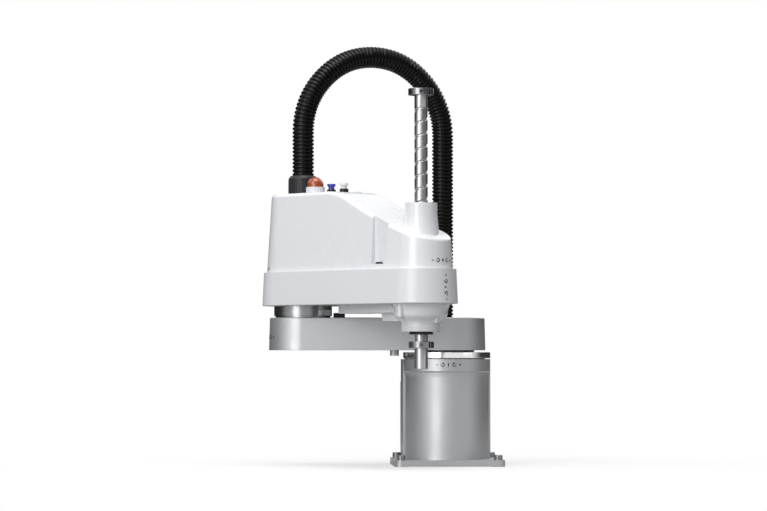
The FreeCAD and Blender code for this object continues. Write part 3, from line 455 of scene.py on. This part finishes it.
def spline_line(name, points):
    """The points that a smooth NURBS spline of the route gives."""
    curve = bpy.data.curves.new(name, "CURVE")
    curve.dimensions = "3D"
    spline = curve.splines.new("NURBS")
    spline.points.add(len(points) - 1)
    for control, place in zip(spline.points, points):
        control.co = (*place, 1)
    spline.order_u = 3
    spline.use_endpoint_u = True
    spline.resolution_u = 40
    carrier = bpy.data.objects.new(name, curve)
    mesh = bpy.data.meshes.new_from_object(carrier)
    line = [v.co.copy() for v in mesh.vertices]
    bpy.data.objects.remove(carrier)
    bpy.data.meshes.remove(mesh)
    return line


def stations(line, steps):
    """Walks a line and gives the place and direction at each distance from its start."""
    lengths = [0.0]
    for a, b in zip(line, line[1:]):
        lengths.append(lengths[-1] + (b - a).length)
    here = 0
    for step in steps:
        while here < len(line) - 2 and lengths[here + 1] < step:
            here += 1
        run = line[here + 1] - line[here]
        share = (step - lengths[here]) / max(1e-9, run.length)
        yield line[here] + run * share, run.normalized()


def open_edges(grown):
    """The edges of what was grown that have one face only, which is its free end."""
    return [g for g in grown if isinstance(g, bmesh.types.BMEdge) and len(g.link_faces) == 1]


def cable_duct():
    """The ribbed duct from the base's gland over to the cover's gland, closed at both ends."""
    line = spline_line("duct route", duct_route)
    length = sum((b - a).length for a, b in zip(line, line[1:]))
    ribs = int(length / (RIB_PITCH * MM))
    pitch = length / ribs
    steps = [((n + share) * pitch, radius) for n in range(ribs) for share, radius in RIB_PROFILE]
    steps.append((length, RIB_PROFILE[0][1]))
    side = (DUCT_END - DUCT_FOOT).cross(UP).normalized()
    bm = bmesh.new()
    ring, before = None, None
    for (place, ahead), (_, radius) in zip(stations(line, [s for s, _ in steps]), steps):
        turn = Matrix((side, ahead.cross(side), ahead)).transposed().to_4x4()
        wide = Matrix.Diagonal((radius * MM, radius * MM, radius * MM, 1))
        here = Matrix.Translation(place) @ turn @ wide
        if ring is None:
            made = bmesh.ops.create_circle(bm, segments=DUCT_SIDES, radius=1, matrix=here,
                                           cap_ends=True)
            ring = list({e for v in made["verts"] for e in v.link_edges})
        else:
            grown = bmesh.ops.extrude_edge_only(bm, edges=ring)["geom"]
            ring = open_edges(grown)
            verts = [g for g in grown if isinstance(g, bmesh.types.BMVert)]
            bmesh.ops.transform(bm, matrix=here @ before.inverted(), verts=verts)
        before = here
    bmesh.ops.contextual_create(bm, geom=ring)
    duct = piece("ribbed_duct", bm, None, "duct_plastic", DUCT_PLASTIC, replaces=["cable_duct"])
    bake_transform(duct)
    return duct


# Glands that hold the duct's ends

GLAND_BORE = 13
GLAND_SEAT = 12
SEAT_RADIUS = DUCT_RADIUS + 0.1
GLAND_SIDES = 64
GLAND_RIBS = 30
RIB_INSET = 0.75
RIB_DEEP, RIB_WIDE, RIB_SHORTER = 1.4, 2.3, 10.2
RIB_EDGE = 0.35

def gland(name, node, body):
    """A ribbed round gland with a tapered lip, in place of its plain solid."""
    low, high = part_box(node)
    middle = (Vector(low) + Vector(high)) / 2
    radius, height = (high[0] - low[0]) / 2 / MM, (high[2] - low[2]) / MM
    place = at(Vector((middle.x, middle.y, low[2])))
    bm = bmesh.new()
    turned_form(bm, [
        (GLAND_BORE, 0), (radius, 0), (radius, 3), (radius - 0.9, 3.6), (radius - 0.9, height - 7),
        (radius - 0.2, height - 6.4), (radius - 0.4, height - 4.5), (radius - 3, height - 0.6),
        (radius - 3.6, height), (SEAT_RADIUS, height), (SEAT_RADIUS, height - GLAND_SEAT),
        (GLAND_BORE, height - GLAND_SEAT), (GLAND_BORE, 0),
    ], GLAND_SIDES, place)
    for n in range(GLAND_RIBS):
        turn = Matrix.Rotation(2 * math.pi * n / GLAND_RIBS, 4, "Z")
        middle_up = (3.4 + height - 6.8) / 2
        bar = place @ turn @ Matrix.Translation(
            Vector(((radius - RIB_INSET) * MM, 0, middle_up * MM)))
        made = bmesh.ops.create_cube(bm, size=1, matrix=bar @ Matrix.Diagonal(
            (RIB_DEEP * MM, RIB_WIDE * MM, (height - RIB_SHORTER) * MM, 1)))["verts"]
        edges = list({e for v in made for e in v.link_edges})
        bmesh.ops.bevel(bm, geom=edges, offset=RIB_EDGE * MM, segments=1, profile=0.5,
                        affect="EDGES", material=-1)
    return piece(name, bm, body, "grey_plastic", GREY_PLASTIC, replaces=[node])


# Grooved shaft

SHAFT_RADIUS = 10
GROOVE_LEAD = 20
GROOVE_DEPTH = 1.5
GROOVE_HALF = math.radians(40)
SHAFT_SIDES = 72
STEPS_PER_LEAD = 28
GROOVE_ENDS = (200, 548)
GROOVE_RUN_OUT = 4
GROOVE_TURN = math.radians(-62)
BORE_RADIUS, BORE_SEEN = 7, 30
END_RADIUS, END_EDGE = 9.2, 0.8


def grooved_shaft():
    """The hollow shaft with one helical ball groove, plain at both ends."""
    low, high = node_low("shaft") / MM, node_top("shaft") / MM
    bm = bmesh.new()
    made = bmesh.ops.create_circle(bm, segments=SHAFT_SIDES, radius=BORE_RADIUS * MM,
                                   matrix=Matrix.Translation(UP * (low + BORE_SEEN) * MM))
    ring = list({e for v in made["verts"] for e in v.link_edges})

    def grow(ring, lift, factor):
        """Extrudes the ring up by a lift and to a factor of its radius."""
        grown = bmesh.ops.extrude_edge_only(bm, edges=ring)["geom"]
        verts = [g for g in grown if isinstance(g, bmesh.types.BMVert)]
        bmesh.ops.translate(bm, verts=verts, vec=UP * lift * MM)
        bmesh.ops.scale(bm, verts=verts, vec=(factor, factor, 1))
        return open_edges(grown), verts

    ring, _ = grow(ring, -BORE_SEEN, 1)
    ring, _ = grow(ring, 0, END_RADIUS / BORE_RADIUS)
    ring, _ = grow(ring, END_EDGE, SHAFT_RADIUS / END_RADIUS)
    ring, _ = grow(ring, GROOVE_ENDS[0] - low - END_EDGE, 1)
    ring, verts = grow(ring, GROOVE_RUN_OUT, 1)
    for vert in verts:
        away = math.atan2(vert.co.y, vert.co.x) / GROOVE_HALF
        if abs(away) < 1:
            vert.co.xy *= 1 - GROOVE_DEPTH / SHAFT_RADIUS * math.sqrt(1 - away * away)
    turns = (GROOVE_ENDS[1] - GROOVE_ENDS[0] - 2 * GROOVE_RUN_OUT) / GROOVE_LEAD
    steps = round(turns * STEPS_PER_LEAD)
    made = bmesh.ops.spin(bm, geom=ring, cent=(0, 0, 0), axis=UP, angle=turns * 2 * math.pi,
                          steps=steps, dvec=UP * turns * GROOVE_LEAD * MM / steps)
    ring = [g for g in made["geom_last"] if isinstance(g, bmesh.types.BMEdge)]
    grown = bmesh.ops.extrude_edge_only(bm, edges=ring)["geom"]
    verts = [g for g in grown if isinstance(g, bmesh.types.BMVert)]
    ring = open_edges(grown)
    bmesh.ops.translate(bm, verts=verts, vec=UP * GROOVE_RUN_OUT * MM)
    for vert in verts:
        vert.co.xy *= SHAFT_RADIUS * MM / vert.co.xy.length
    ring, _ = grow(ring, high - GROOVE_ENDS[1] - END_EDGE, 1)
    ring, _ = grow(ring, END_EDGE, END_RADIUS / SHAFT_RADIUS)
    ring, _ = grow(ring, 0, BORE_RADIUS / END_RADIUS)
    ring, _ = grow(ring, low + BORE_SEEN - high, 1)
    bmesh.ops.transform(bm, matrix=at(SHAFT_AT, GROOVE_TURN), verts=bm.verts)
    return piece("grooved_shaft", bm, "tool_shaft", "polished_steel", SHAFT_STEEL, replaces=["shaft"])


# Fittings on the cover

COVER_TOP = node_low("lamp_base")
FIRST_HOSE, SECOND_HOSE, ROUND_SOCKET = 0.068, 0.098, 0.042
FITTING_SIDES = 32
# Outlines of (radius, height)
FITTING_BODY = [(0, 0), (6.8, 0), (6.8, 5.3), (6.1, 6), (0, 6)]
FITTING_RING = [(4.9, 5.9), (4.6, 7.4), (4.6, 9.6), (5.4, 10.8), (6.5, 11.4), (6.5, 14), (6, 14.5),
                (3.5, 14.5), (3, 14), (3, 5), (0, 5)]
SOCKET_CAP = [(0, 0), (6.3, 0), (6.3, 1.2), (5.7, 1.6), (5.7, 4.4), (5.1, 5), (0, 5)]
BLUE_RING, PALE_RING = 1, 2


def push_in_fittings(name, node, body, rings):
    """Push-in hose fittings: a black foot each, and the waisted ring that the hose goes into."""
    bm = bmesh.new()
    for place, ring in rings:
        turned_form(bm, FITTING_BODY, FITTING_SIDES, place)
        turned_form(bm, FITTING_RING, FITTING_SIDES, place, material=ring)
    return piece(name, bm, body, "black_plastic", BLACK_PLASTIC, BLUE_PLASTIC, PALE_PLASTIC,
                 replaces=[node])


def cover_fittings():
    """The two hose fittings and the capped round socket on the cover."""
    push_in_fittings("first_hose_fitting", "first_air_fitting", "arm_2",
                     [(at(on_arm_2(FIRST_HOSE, 0, COVER_TOP)), BLUE_RING)])
    push_in_fittings("second_hose_fitting", "second_air_fitting", "arm_2",
                     [(at(on_arm_2(SECOND_HOSE, 0, COVER_TOP)), PALE_RING)])
    bm = bmesh.new()
    turned_form(bm, SOCKET_CAP, FITTING_SIDES, at(on_arm_2(ROUND_SOCKET, 0, COVER_TOP)))
    piece("round_socket_cap", bm, "arm_2", "black_plastic", BLACK_PLASTIC, replaces=["arm_socket"])


# The rear panel's fittings, screws and contacts

BACK = Vector((0, 1, 0))
PANEL_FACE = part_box("connector_panel")[1][1]
PIN_SIDES = 12
PIN_FOOT, PIN_SHOULDER, PIN_TOP, PIN_TIP = 2, 7.4, 8, 0.4


def on_panel(x, z):
    """A place on the rear panel, its local Z looking out of the panel."""
    return at(Vector((x, PANEL_FACE, z)), facing=BACK)


def rear_fittings():
    """The three hose fittings in a row on the rear panel."""
    low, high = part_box("rear_air_fittings")
    middle, radius = (low[2] + high[2]) / 2, (high[2] - low[2]) / 2
    first, last = low[0] + radius, high[0] - radius
    spots = [on_panel(first + (last - first) * n / 2, middle) for n in range(3)]
    push_in_fittings("rear_hose_fittings", "rear_air_fittings", "base",
                     zip(spots, (BLUE_RING, PALE_RING, BLUE_RING)))


def contact_pins(name, node, rows, radius, span):
    """Gilt pins standing in a socket's mouth, each row with its own number of them."""
    low, high = (Vector(corner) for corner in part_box(node))
    middle, reach = (low + high) / 2, (high - low) * span / 2
    longest = max(rows)
    bm = bmesh.new()
    for row, pins in enumerate(rows):
        z = middle.z + reach.z * (2 * row / (len(rows) - 1) - 1 if len(rows) > 1 else 0)
        for pin in range(pins):
            x = middle.x + reach.x * (2 * pin - pins + 1) / (longest - 1)
            turned_form(bm, [(0, PIN_FOOT), (radius, PIN_FOOT), (radius, PIN_SHOULDER),
                             (radius * PIN_TIP, PIN_TOP), (0, PIN_TOP)], PIN_SIDES, on_panel(x, z))
    return piece(name, bm, "base", "plain_steel", GOLD)


# Screws

def screws(name, body, slot, material, replaces, *places, radius=3, height=3, key=1.6):
    """Several cap screws in one piece."""
    bm = bmesh.new()
    for place in places:
        one = bmesh.new()
        cap_screw(one, place, radius, height, key)
        mesh = bpy.data.meshes.new("one screw")
        one.to_mesh(mesh)
        one.free()
        bm.from_mesh(mesh)
        bpy.data.meshes.remove(mesh)
    return piece(name, bm, body, slot, material, replaces=replaces)


# Printed marks

MARK_GAP = 9
MARK_HEIGHT = 6.2
MARK_STROKE = 1.3
INK_DEPTH = 0.12
FIGURE_HEIGHT = 1.25
FIGURE_BOLD = 0.28
SHORT_BAR = 0.5
ARROW_SWEEP, ARROW_STEPS = math.radians(280), 14
ARROW_HEAD = 1.45


def direction_mark(name, number, body, slot, place, wrap=0.0):
    """A printed turn mark: minus, an arrow each way round the axis number, and plus."""
    bm = bmesh.new()

    def bar(x, wide, tall):
        """A flat bar in the middle of the row."""
        made = bmesh.ops.create_grid(bm, x_segments=2, y_segments=2, size=0.5)["verts"]
        bmesh.ops.transform(bm, verts=made, matrix=Matrix.Translation(Vector((x * MM, 0, 0)))
                            @ Matrix.Diagonal((wide * MM, tall * MM, 1, 1)))

    def turn_arrow(x, way):
        """Most of a ring with an arrow's head at its end."""
        inner, outer = (MARK_HEIGHT / 2 - MARK_STROKE) * MM, MARK_HEIGHT / 2 * MM
        centre = Vector((x * MM, 0, 0))
        start = [bm.verts.new(centre + Vector((0, reach, 0))) for reach in (inner, outer)]
        bmesh.ops.spin(bm, geom=start + [bm.edges.new(start)], cent=centre, axis=UP,
                       steps=ARROW_STEPS, angle=way * ARROW_SWEEP)
        bmesh.ops.create_circle(bm, segments=3, radius=MARK_STROKE * ARROW_HEAD * MM, cap_ends=True,
                                matrix=Matrix.Translation(centre + Vector((0, (inner + outer) / 2, 0)))
                                @ Matrix.Rotation(-way * math.pi / 2, 4, "Z"))

    short = MARK_HEIGHT * SHORT_BAR
    bar(-2 * MARK_GAP, short, MARK_STROKE)
    bar(2 * MARK_GAP, short, MARK_STROKE)
    bar(2 * MARK_GAP, MARK_STROKE, short)
    for side in (-1, 1):
        turn_arrow(side * MARK_GAP, side)
    text = bpy.data.curves.new(name, "FONT")
    text.body = number
    text.size = MARK_HEIGHT * FIGURE_HEIGHT * MM
    text.offset = FIGURE_BOLD * MM
    text.align_x = "CENTER"
    text.align_y = "CENTER"
    carrier = bpy.data.objects.new(name, text)
    bpy.context.scene.collection.objects.link(carrier)
    bpy.context.view_layer.update()
    figure = bpy.data.meshes.new_from_object(carrier)
    bpy.data.objects.remove(carrier)
    bm.from_mesh(figure)
    bpy.data.meshes.remove(figure)
    bmesh.ops.solidify(bm, geom=bm.faces, thickness=INK_DEPTH * MM)
    middle = sum(v.co.z for v in bm.verts) / len(bm.verts)
    for vert in bm.verts:
        height = vert.co.z - middle + INK_DEPTH / 3 * MM
        if wrap:
            turn = vert.co.x / (wrap * MM)
            vert.co = Vector((math.sin(turn) * (wrap * MM + height), vert.co.y,
                              math.cos(turn) * (wrap * MM + height) - wrap * MM))
        else:
            vert.co = Vector((vert.co.x, vert.co.y, height))
    bmesh.ops.transform(bm, matrix=place, verts=bm.verts)
    return piece(name, bm, body, slot, INK, smooth=False)


def facing(point, outward, quarter_turns=0):
    """A place on a wall: local Z looks outward, local Y up, then turned by quarters."""
    right = UP.cross(outward).normalized()
    basis = Matrix((right, outward.cross(right), outward)).transposed().to_4x4()
    return Matrix.Translation(point) @ basis @ Matrix.Rotation(quarter_turns * math.pi / 2, 4, "Z")


# The pieces, from the duct to the contacts

cable_duct()
gland("arm_gland_ribs", "arm_gland", "arm_2")
gland("base_gland_ribs", "base_gland", "base")
grooved_shaft()
cover_fittings()

PLATE_TOP = 10
BOLT_HALF = 75
BOLT_TURN = 0.01
screws("base_bolts", "base", "plain_steel", SCREW_STEEL, (),
       *[at(Vector((x * MM, y * MM, PLATE_TOP * MM)), x * BOLT_TURN)
         for x in (-BOLT_HALF, BOLT_HALF) for y in (-BOLT_HALF, BOLT_HALF)],
       radius=6.5, height=8, key=3.5)
LEDGE = node_low("cover_screws")
LEDGE_ALONG, LEDGE_SIDE, LEDGE_TURN = (226, 234), 44.6, 0.3
screws("cover_screw_heads", "arm_2", "black_steel", BLACK_OXIDE, ["cover_screws"],
       *[at(on_arm_2(along * MM, side * MM, LEDGE), LEDGE_TURN)
         for along in LEDGE_ALONG for side in (-LEDGE_SIDE, LEDGE_SIDE)],
       radius=2.6, height=3, key=1.3)

rear_fittings()
panel_low, panel_high = (Vector(corner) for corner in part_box("panel_screws"))
PANEL_SCREW = 3.4
screw_radius = PANEL_SCREW * MM
screws("panel_screw_heads", "base", "plain_steel", SCREW_STEEL, ["panel_screws"],
       *[on_panel(x, z) for x in (panel_low.x + screw_radius, panel_high.x - screw_radius)
         for z in (panel_low.z + screw_radius, panel_high.z - screw_radius)],
       radius=PANEL_SCREW, height=3, key=1.7)
contact_pins("power_contacts", "power_connector", [4], 1.4, 0.55)
contact_pins("signal_contacts", "signal_connector", [9, 9, 9], 0.6, 0.62)
contact_pins("user_contacts", "user_connector", [8, 7], 0.5, 0.58)


# The printed marks, each on its own wall

def leaning(turn, draft):
    """The way that a drafted round end faces, turned from the front towards the right."""
    level = Vector((math.sin(turn), -math.cos(turn), 0))
    return level * math.cos(draft) + UP * math.sin(draft)


FLANGE_RADIUS, FLANGE_MARK, FLANGE_TURN = 67.6, 156.8, math.radians(-1.2)
direction_mark("first_axis_mark", "1", "base", "black_plastic",
               facing((leaning(FLANGE_TURN, 0) * FLANGE_RADIUS + UP * FLANGE_MARK) * MM,
                      leaning(FLANGE_TURN, 0)), wrap=FLANGE_RADIUS)

ARM_1_TIP, ARM_1_MARK = 52.65, 200
ARM_1_TURN, ARM_1_DRAFT = math.radians(-80), math.radians(1.5)
tip_way = leaning(ARM_1_TURN, ARM_1_DRAFT)
tip_level = Vector((tip_way.x, tip_way.y, 0)).normalized()
direction_mark("second_axis_mark", "2", "arm_1", "black_plastic",
               facing(ELBOW + tip_level * ARM_1_TIP * MM + UP * ARM_1_MARK * MM, tip_way),
               wrap=ARM_1_TIP)

NOSE_TURN = math.radians(40.5)
SKIRT_TIP, SKIRT_DRAFT, SKIRT_MARK = 54.2, math.radians(2.6), 272.8
COVER_TIP, COVER_DRAFT, COVER_MARK = 46.83, math.radians(3.5), 313
nose_level = leaning(NOSE_TURN, 0)
direction_mark("third_axis_mark", "3", "arm_2", "black_plastic",
               facing(SHAFT_AT + (nose_level * SKIRT_TIP + UP * SKIRT_MARK) * MM,
                      leaning(NOSE_TURN, SKIRT_DRAFT), 1))
direction_mark("fourth_axis_mark", "4", "arm_2", "black_plastic",
               facing(SHAFT_AT + (nose_level * COVER_TIP + UP * COVER_MARK) * MM,
                      leaning(NOSE_TURN, COVER_DRAFT)), wrap=COVER_TIP)

# Small screws on the collars and the cover's back

COLLAR_RADIUS, CLAMP_SUNK = 19.3, 0.5
COLLAR_HALF = 5
clamp_way = leaning(math.radians(-3), 0)
screws("collar_clamp_screws", "tool_shaft", "black_steel", BLACK_OXIDE, (),
       *[facing(SHAFT_AT + clamp_way * (COLLAR_RADIUS - CLAMP_SUNK) * MM
                + UP * (node_low(node) + COLLAR_HALF * MM), clamp_way)
         for node in ("upper_stop_collar", "lower_stop_collar")],
       radius=2.4, height=0.8, key=1.2)

REAR_SCREW_TURN = math.radians(-72)
REAR_SCREW_RADIUS, REAR_SCREW_HEIGHT = 55.85, 306.5
rear_place = leaning(REAR_SCREW_TURN, 0) * REAR_SCREW_RADIUS + UP * REAR_SCREW_HEIGHT
screws("cover_rear_screw", "arm_2", "black_steel", BLACK_OXIDE, (),
       facing(ELBOW + rear_place * MM, leaning(REAR_SCREW_TURN, COVER_DRAFT)),
       radius=1.8, height=0.7, key=0.9)


# Floor, light and background

def card(name, size, place, material):
    """A flat square of the room, which isn't part of the robot."""
    bm = bmesh.new()
    bmesh.ops.create_grid(bm, x_segments=1, y_segments=1, size=size, matrix=place)
    mesh = bpy.data.meshes.new(name)
    bm.to_mesh(mesh)
    bm.free()
    mesh.materials.append(material)
    item = bpy.data.objects.new(name, mesh)
    bpy.context.scene.collection.objects.link(item)
    return item


FLOOR_HALF = 1.3
FLOOR_TONE = (0.86, 0.86, 0.86, 1)
BOUNCE_TONE = (0.2, 0.2, 0.2, 1)
SHADOW_SHARE = 0.5
SHADOW_NEAR, SHADOW_FAR = 0.12, 0.7
FLOOR_SHINE = 0.6

floor_paint = bpy.data.materials.new("pale floor")
floor_paint.use_nodes = True
floor_tree = floor_paint.node_tree
floor_shader = floor_tree.nodes["Principled BSDF"]
floor_shader.inputs["Roughness"].default_value = 0.8
floor_path = add(floor_tree, "LightPath")
seen = add(floor_tree, "Math", {0: floor_path.outputs["Is Glossy Ray"], 1: FLOOR_SHINE,
                                2: floor_path.outputs["Is Camera Ray"]}, operation="MULTIPLY_ADD")
floor_colour = add(floor_tree, "Mix", {"Factor": seen.outputs[0]}, data_type="RGBA")
floor_colour.inputs[6].default_value = BOUNCE_TONE
floor_colour.inputs[7].default_value = FLOOR_TONE
floor_tree.links.new(floor_colour.outputs[2], floor_shader.inputs["Base Color"])
glow = add(floor_tree, "Emission", {"Color": (1, 1, 1, 1), "Strength": 1})
far = add(floor_tree, "VectorMath", {0: add(floor_tree, "TexCoord").outputs["Object"]},
          operation="LENGTH")
fade = add(floor_tree, "MapRange", {"Value": far.outputs["Value"],
                                    "From Min": SHADOW_NEAR, "From Max": SHADOW_FAR,
                                    "To Min": 1 - SHADOW_SHARE, "To Max": 1},
           interpolation_type="SMOOTHSTEP")
camera_only = add(floor_tree, "Math", {0: fade.outputs[0], 1: floor_path.outputs["Is Camera Ray"]},
                  operation="MULTIPLY")
blended = add(floor_tree, "MixShader", {0: camera_only.outputs[0], 1: floor_shader.outputs[0],
                                        2: glow.outputs[0]})
floor_tree.links.new(blended.outputs[0], floor_tree.nodes["Material Output"].inputs["Surface"])
card("floor", FLOOR_HALF, Matrix(), floor_paint)

# A dark card on the right, which only shiny pieces above the first arm see

CARD_HALF, CARD_LOW = 1.0, 0.4
CARD_AT = Vector((1.0, -1.25, CARD_LOW + CARD_HALF))
CARD_TONE = (0.08, 0.08, 0.08, 1)
card_paint = bpy.data.materials.new("dark card")
card_paint.use_nodes = True
card_paint.node_tree.nodes["Principled BSDF"].inputs["Base Color"].default_value = CARD_TONE
away = (CARD_AT - SHAFT_AT) * Vector((1, 1, 0))
dark = card("dark card", CARD_HALF, at(CARD_AT, facing=-away), card_paint)
for ray in ("camera", "diffuse", "transmission", "shadow"):
    setattr(dark, "visible_" + ray, False)


def lamp(name, place, target, size, power):
    """A soft square lamp that looks at a point."""
    data = bpy.data.lights.new(name, "AREA")
    data.shape = "RECTANGLE"
    data.size, data.size_y = size
    data.energy = power
    item = bpy.data.objects.new(name, data)
    item.location = place
    item.rotation_euler = (Vector(target) - Vector(place)).to_track_quat("-Z", "Y").to_euler()
    bpy.context.scene.collection.objects.link(item)


MIDDLE = (-0.1, -0.05, 0.3)
lamp("key", (-2.0, -1.9, 1.9), MIDDLE, (1.3, 1.8), 25)
lamp("strip", (-1.42, -2.2, 0.6), (-0.1, -0.05, 0.5), (1.0, 1.4), 19)
lamp("fill", (2.4, -1.8, 1.0), MIDDLE, (1.4, 1.4), 5)
lamp("top", (-0.2, -0.6, 2.6), MIDDLE, (1.6, 1.6), 40)
lamp("rim", (1.2, 2.2, 1.6), MIDDLE, (1.0, 1.6), 10)

# The room: shiny pieces see a white one with a dark band behind the robot at eye level, while dull
# pieces see a soft grey one that is dimmer from below

AMBIENT = 0.42
AMBIENT_BELOW = 0.18
AMBIENT_FROM, AMBIENT_FULL = -0.3, 0.2
FLAG_FROM, FLAG_FULL = -0.5, 0.15
FLAG_LOW, FLAG_HIGH = 0.2, 0.45
FLAG_SHADE = 0.04

world = bpy.data.worlds.new("room")
bpy.context.scene.world = world
world.use_nodes = True
tree = world.node_tree
path = add(tree, "LightPath")
look = add(tree, "SeparateXYZ", {0: add(tree, "TexCoord").outputs["Generated"]})
behind = add(tree, "MapRange", {"Value": look.outputs[1], "From Min": FLAG_FROM,
                                "From Max": FLAG_FULL}, interpolation_type="SMOOTHSTEP")
steep = add(tree, "Math", {0: look.outputs[2]}, operation="ABSOLUTE")
level = add(tree, "MapRange", {"Value": steep.outputs[0], "From Min": FLAG_LOW, "From Max": FLAG_HIGH,
                               "To Min": 1, "To Max": 0}, interpolation_type="SMOOTHSTEP")
flag = add(tree, "Math", {0: behind.outputs[0], 1: level.outputs[0]}, operation="MULTIPLY")
shine = add(tree, "MapRange", {"Value": flag.outputs[0], "To Min": 1, "To Max": FLAG_SHADE})
mirrored = add(tree, "Math", {0: shine.outputs[0], 1: path.outputs["Is Glossy Ray"]},
               operation="MULTIPLY")
through = add(tree, "Math", {0: path.outputs["Is Camera Ray"],
                             1: path.outputs["Is Transmission Ray"]}, operation="MAXIMUM")
shown = add(tree, "Math", {0: mirrored.outputs[0], 1: through.outputs[0]}, operation="MAXIMUM")
plain = add(tree, "Math", {0: 1, 1: path.outputs["Is Glossy Ray"]}, operation="SUBTRACT")
ambient = add(tree, "MapRange", {"Value": look.outputs[2],
                                 "From Min": AMBIENT_FROM, "From Max": AMBIENT_FULL,
                                 "To Min": AMBIENT_BELOW, "To Max": AMBIENT},
              interpolation_type="SMOOTHSTEP")
diffuse = add(tree, "Math", {0: plain.outputs[0], 1: ambient.outputs[0]}, operation="MULTIPLY")
strength = add(tree, "Math", {0: shown.outputs[0], 1: diffuse.outputs[0]}, operation="MAXIMUM")
back = tree.nodes["Background"]
back.inputs["Color"].default_value = (1, 1, 1, 1)
tree.links.new(strength.outputs[0], back.inputs["Strength"])

bpy.context.scene.view_settings.view_transform = "Standard"
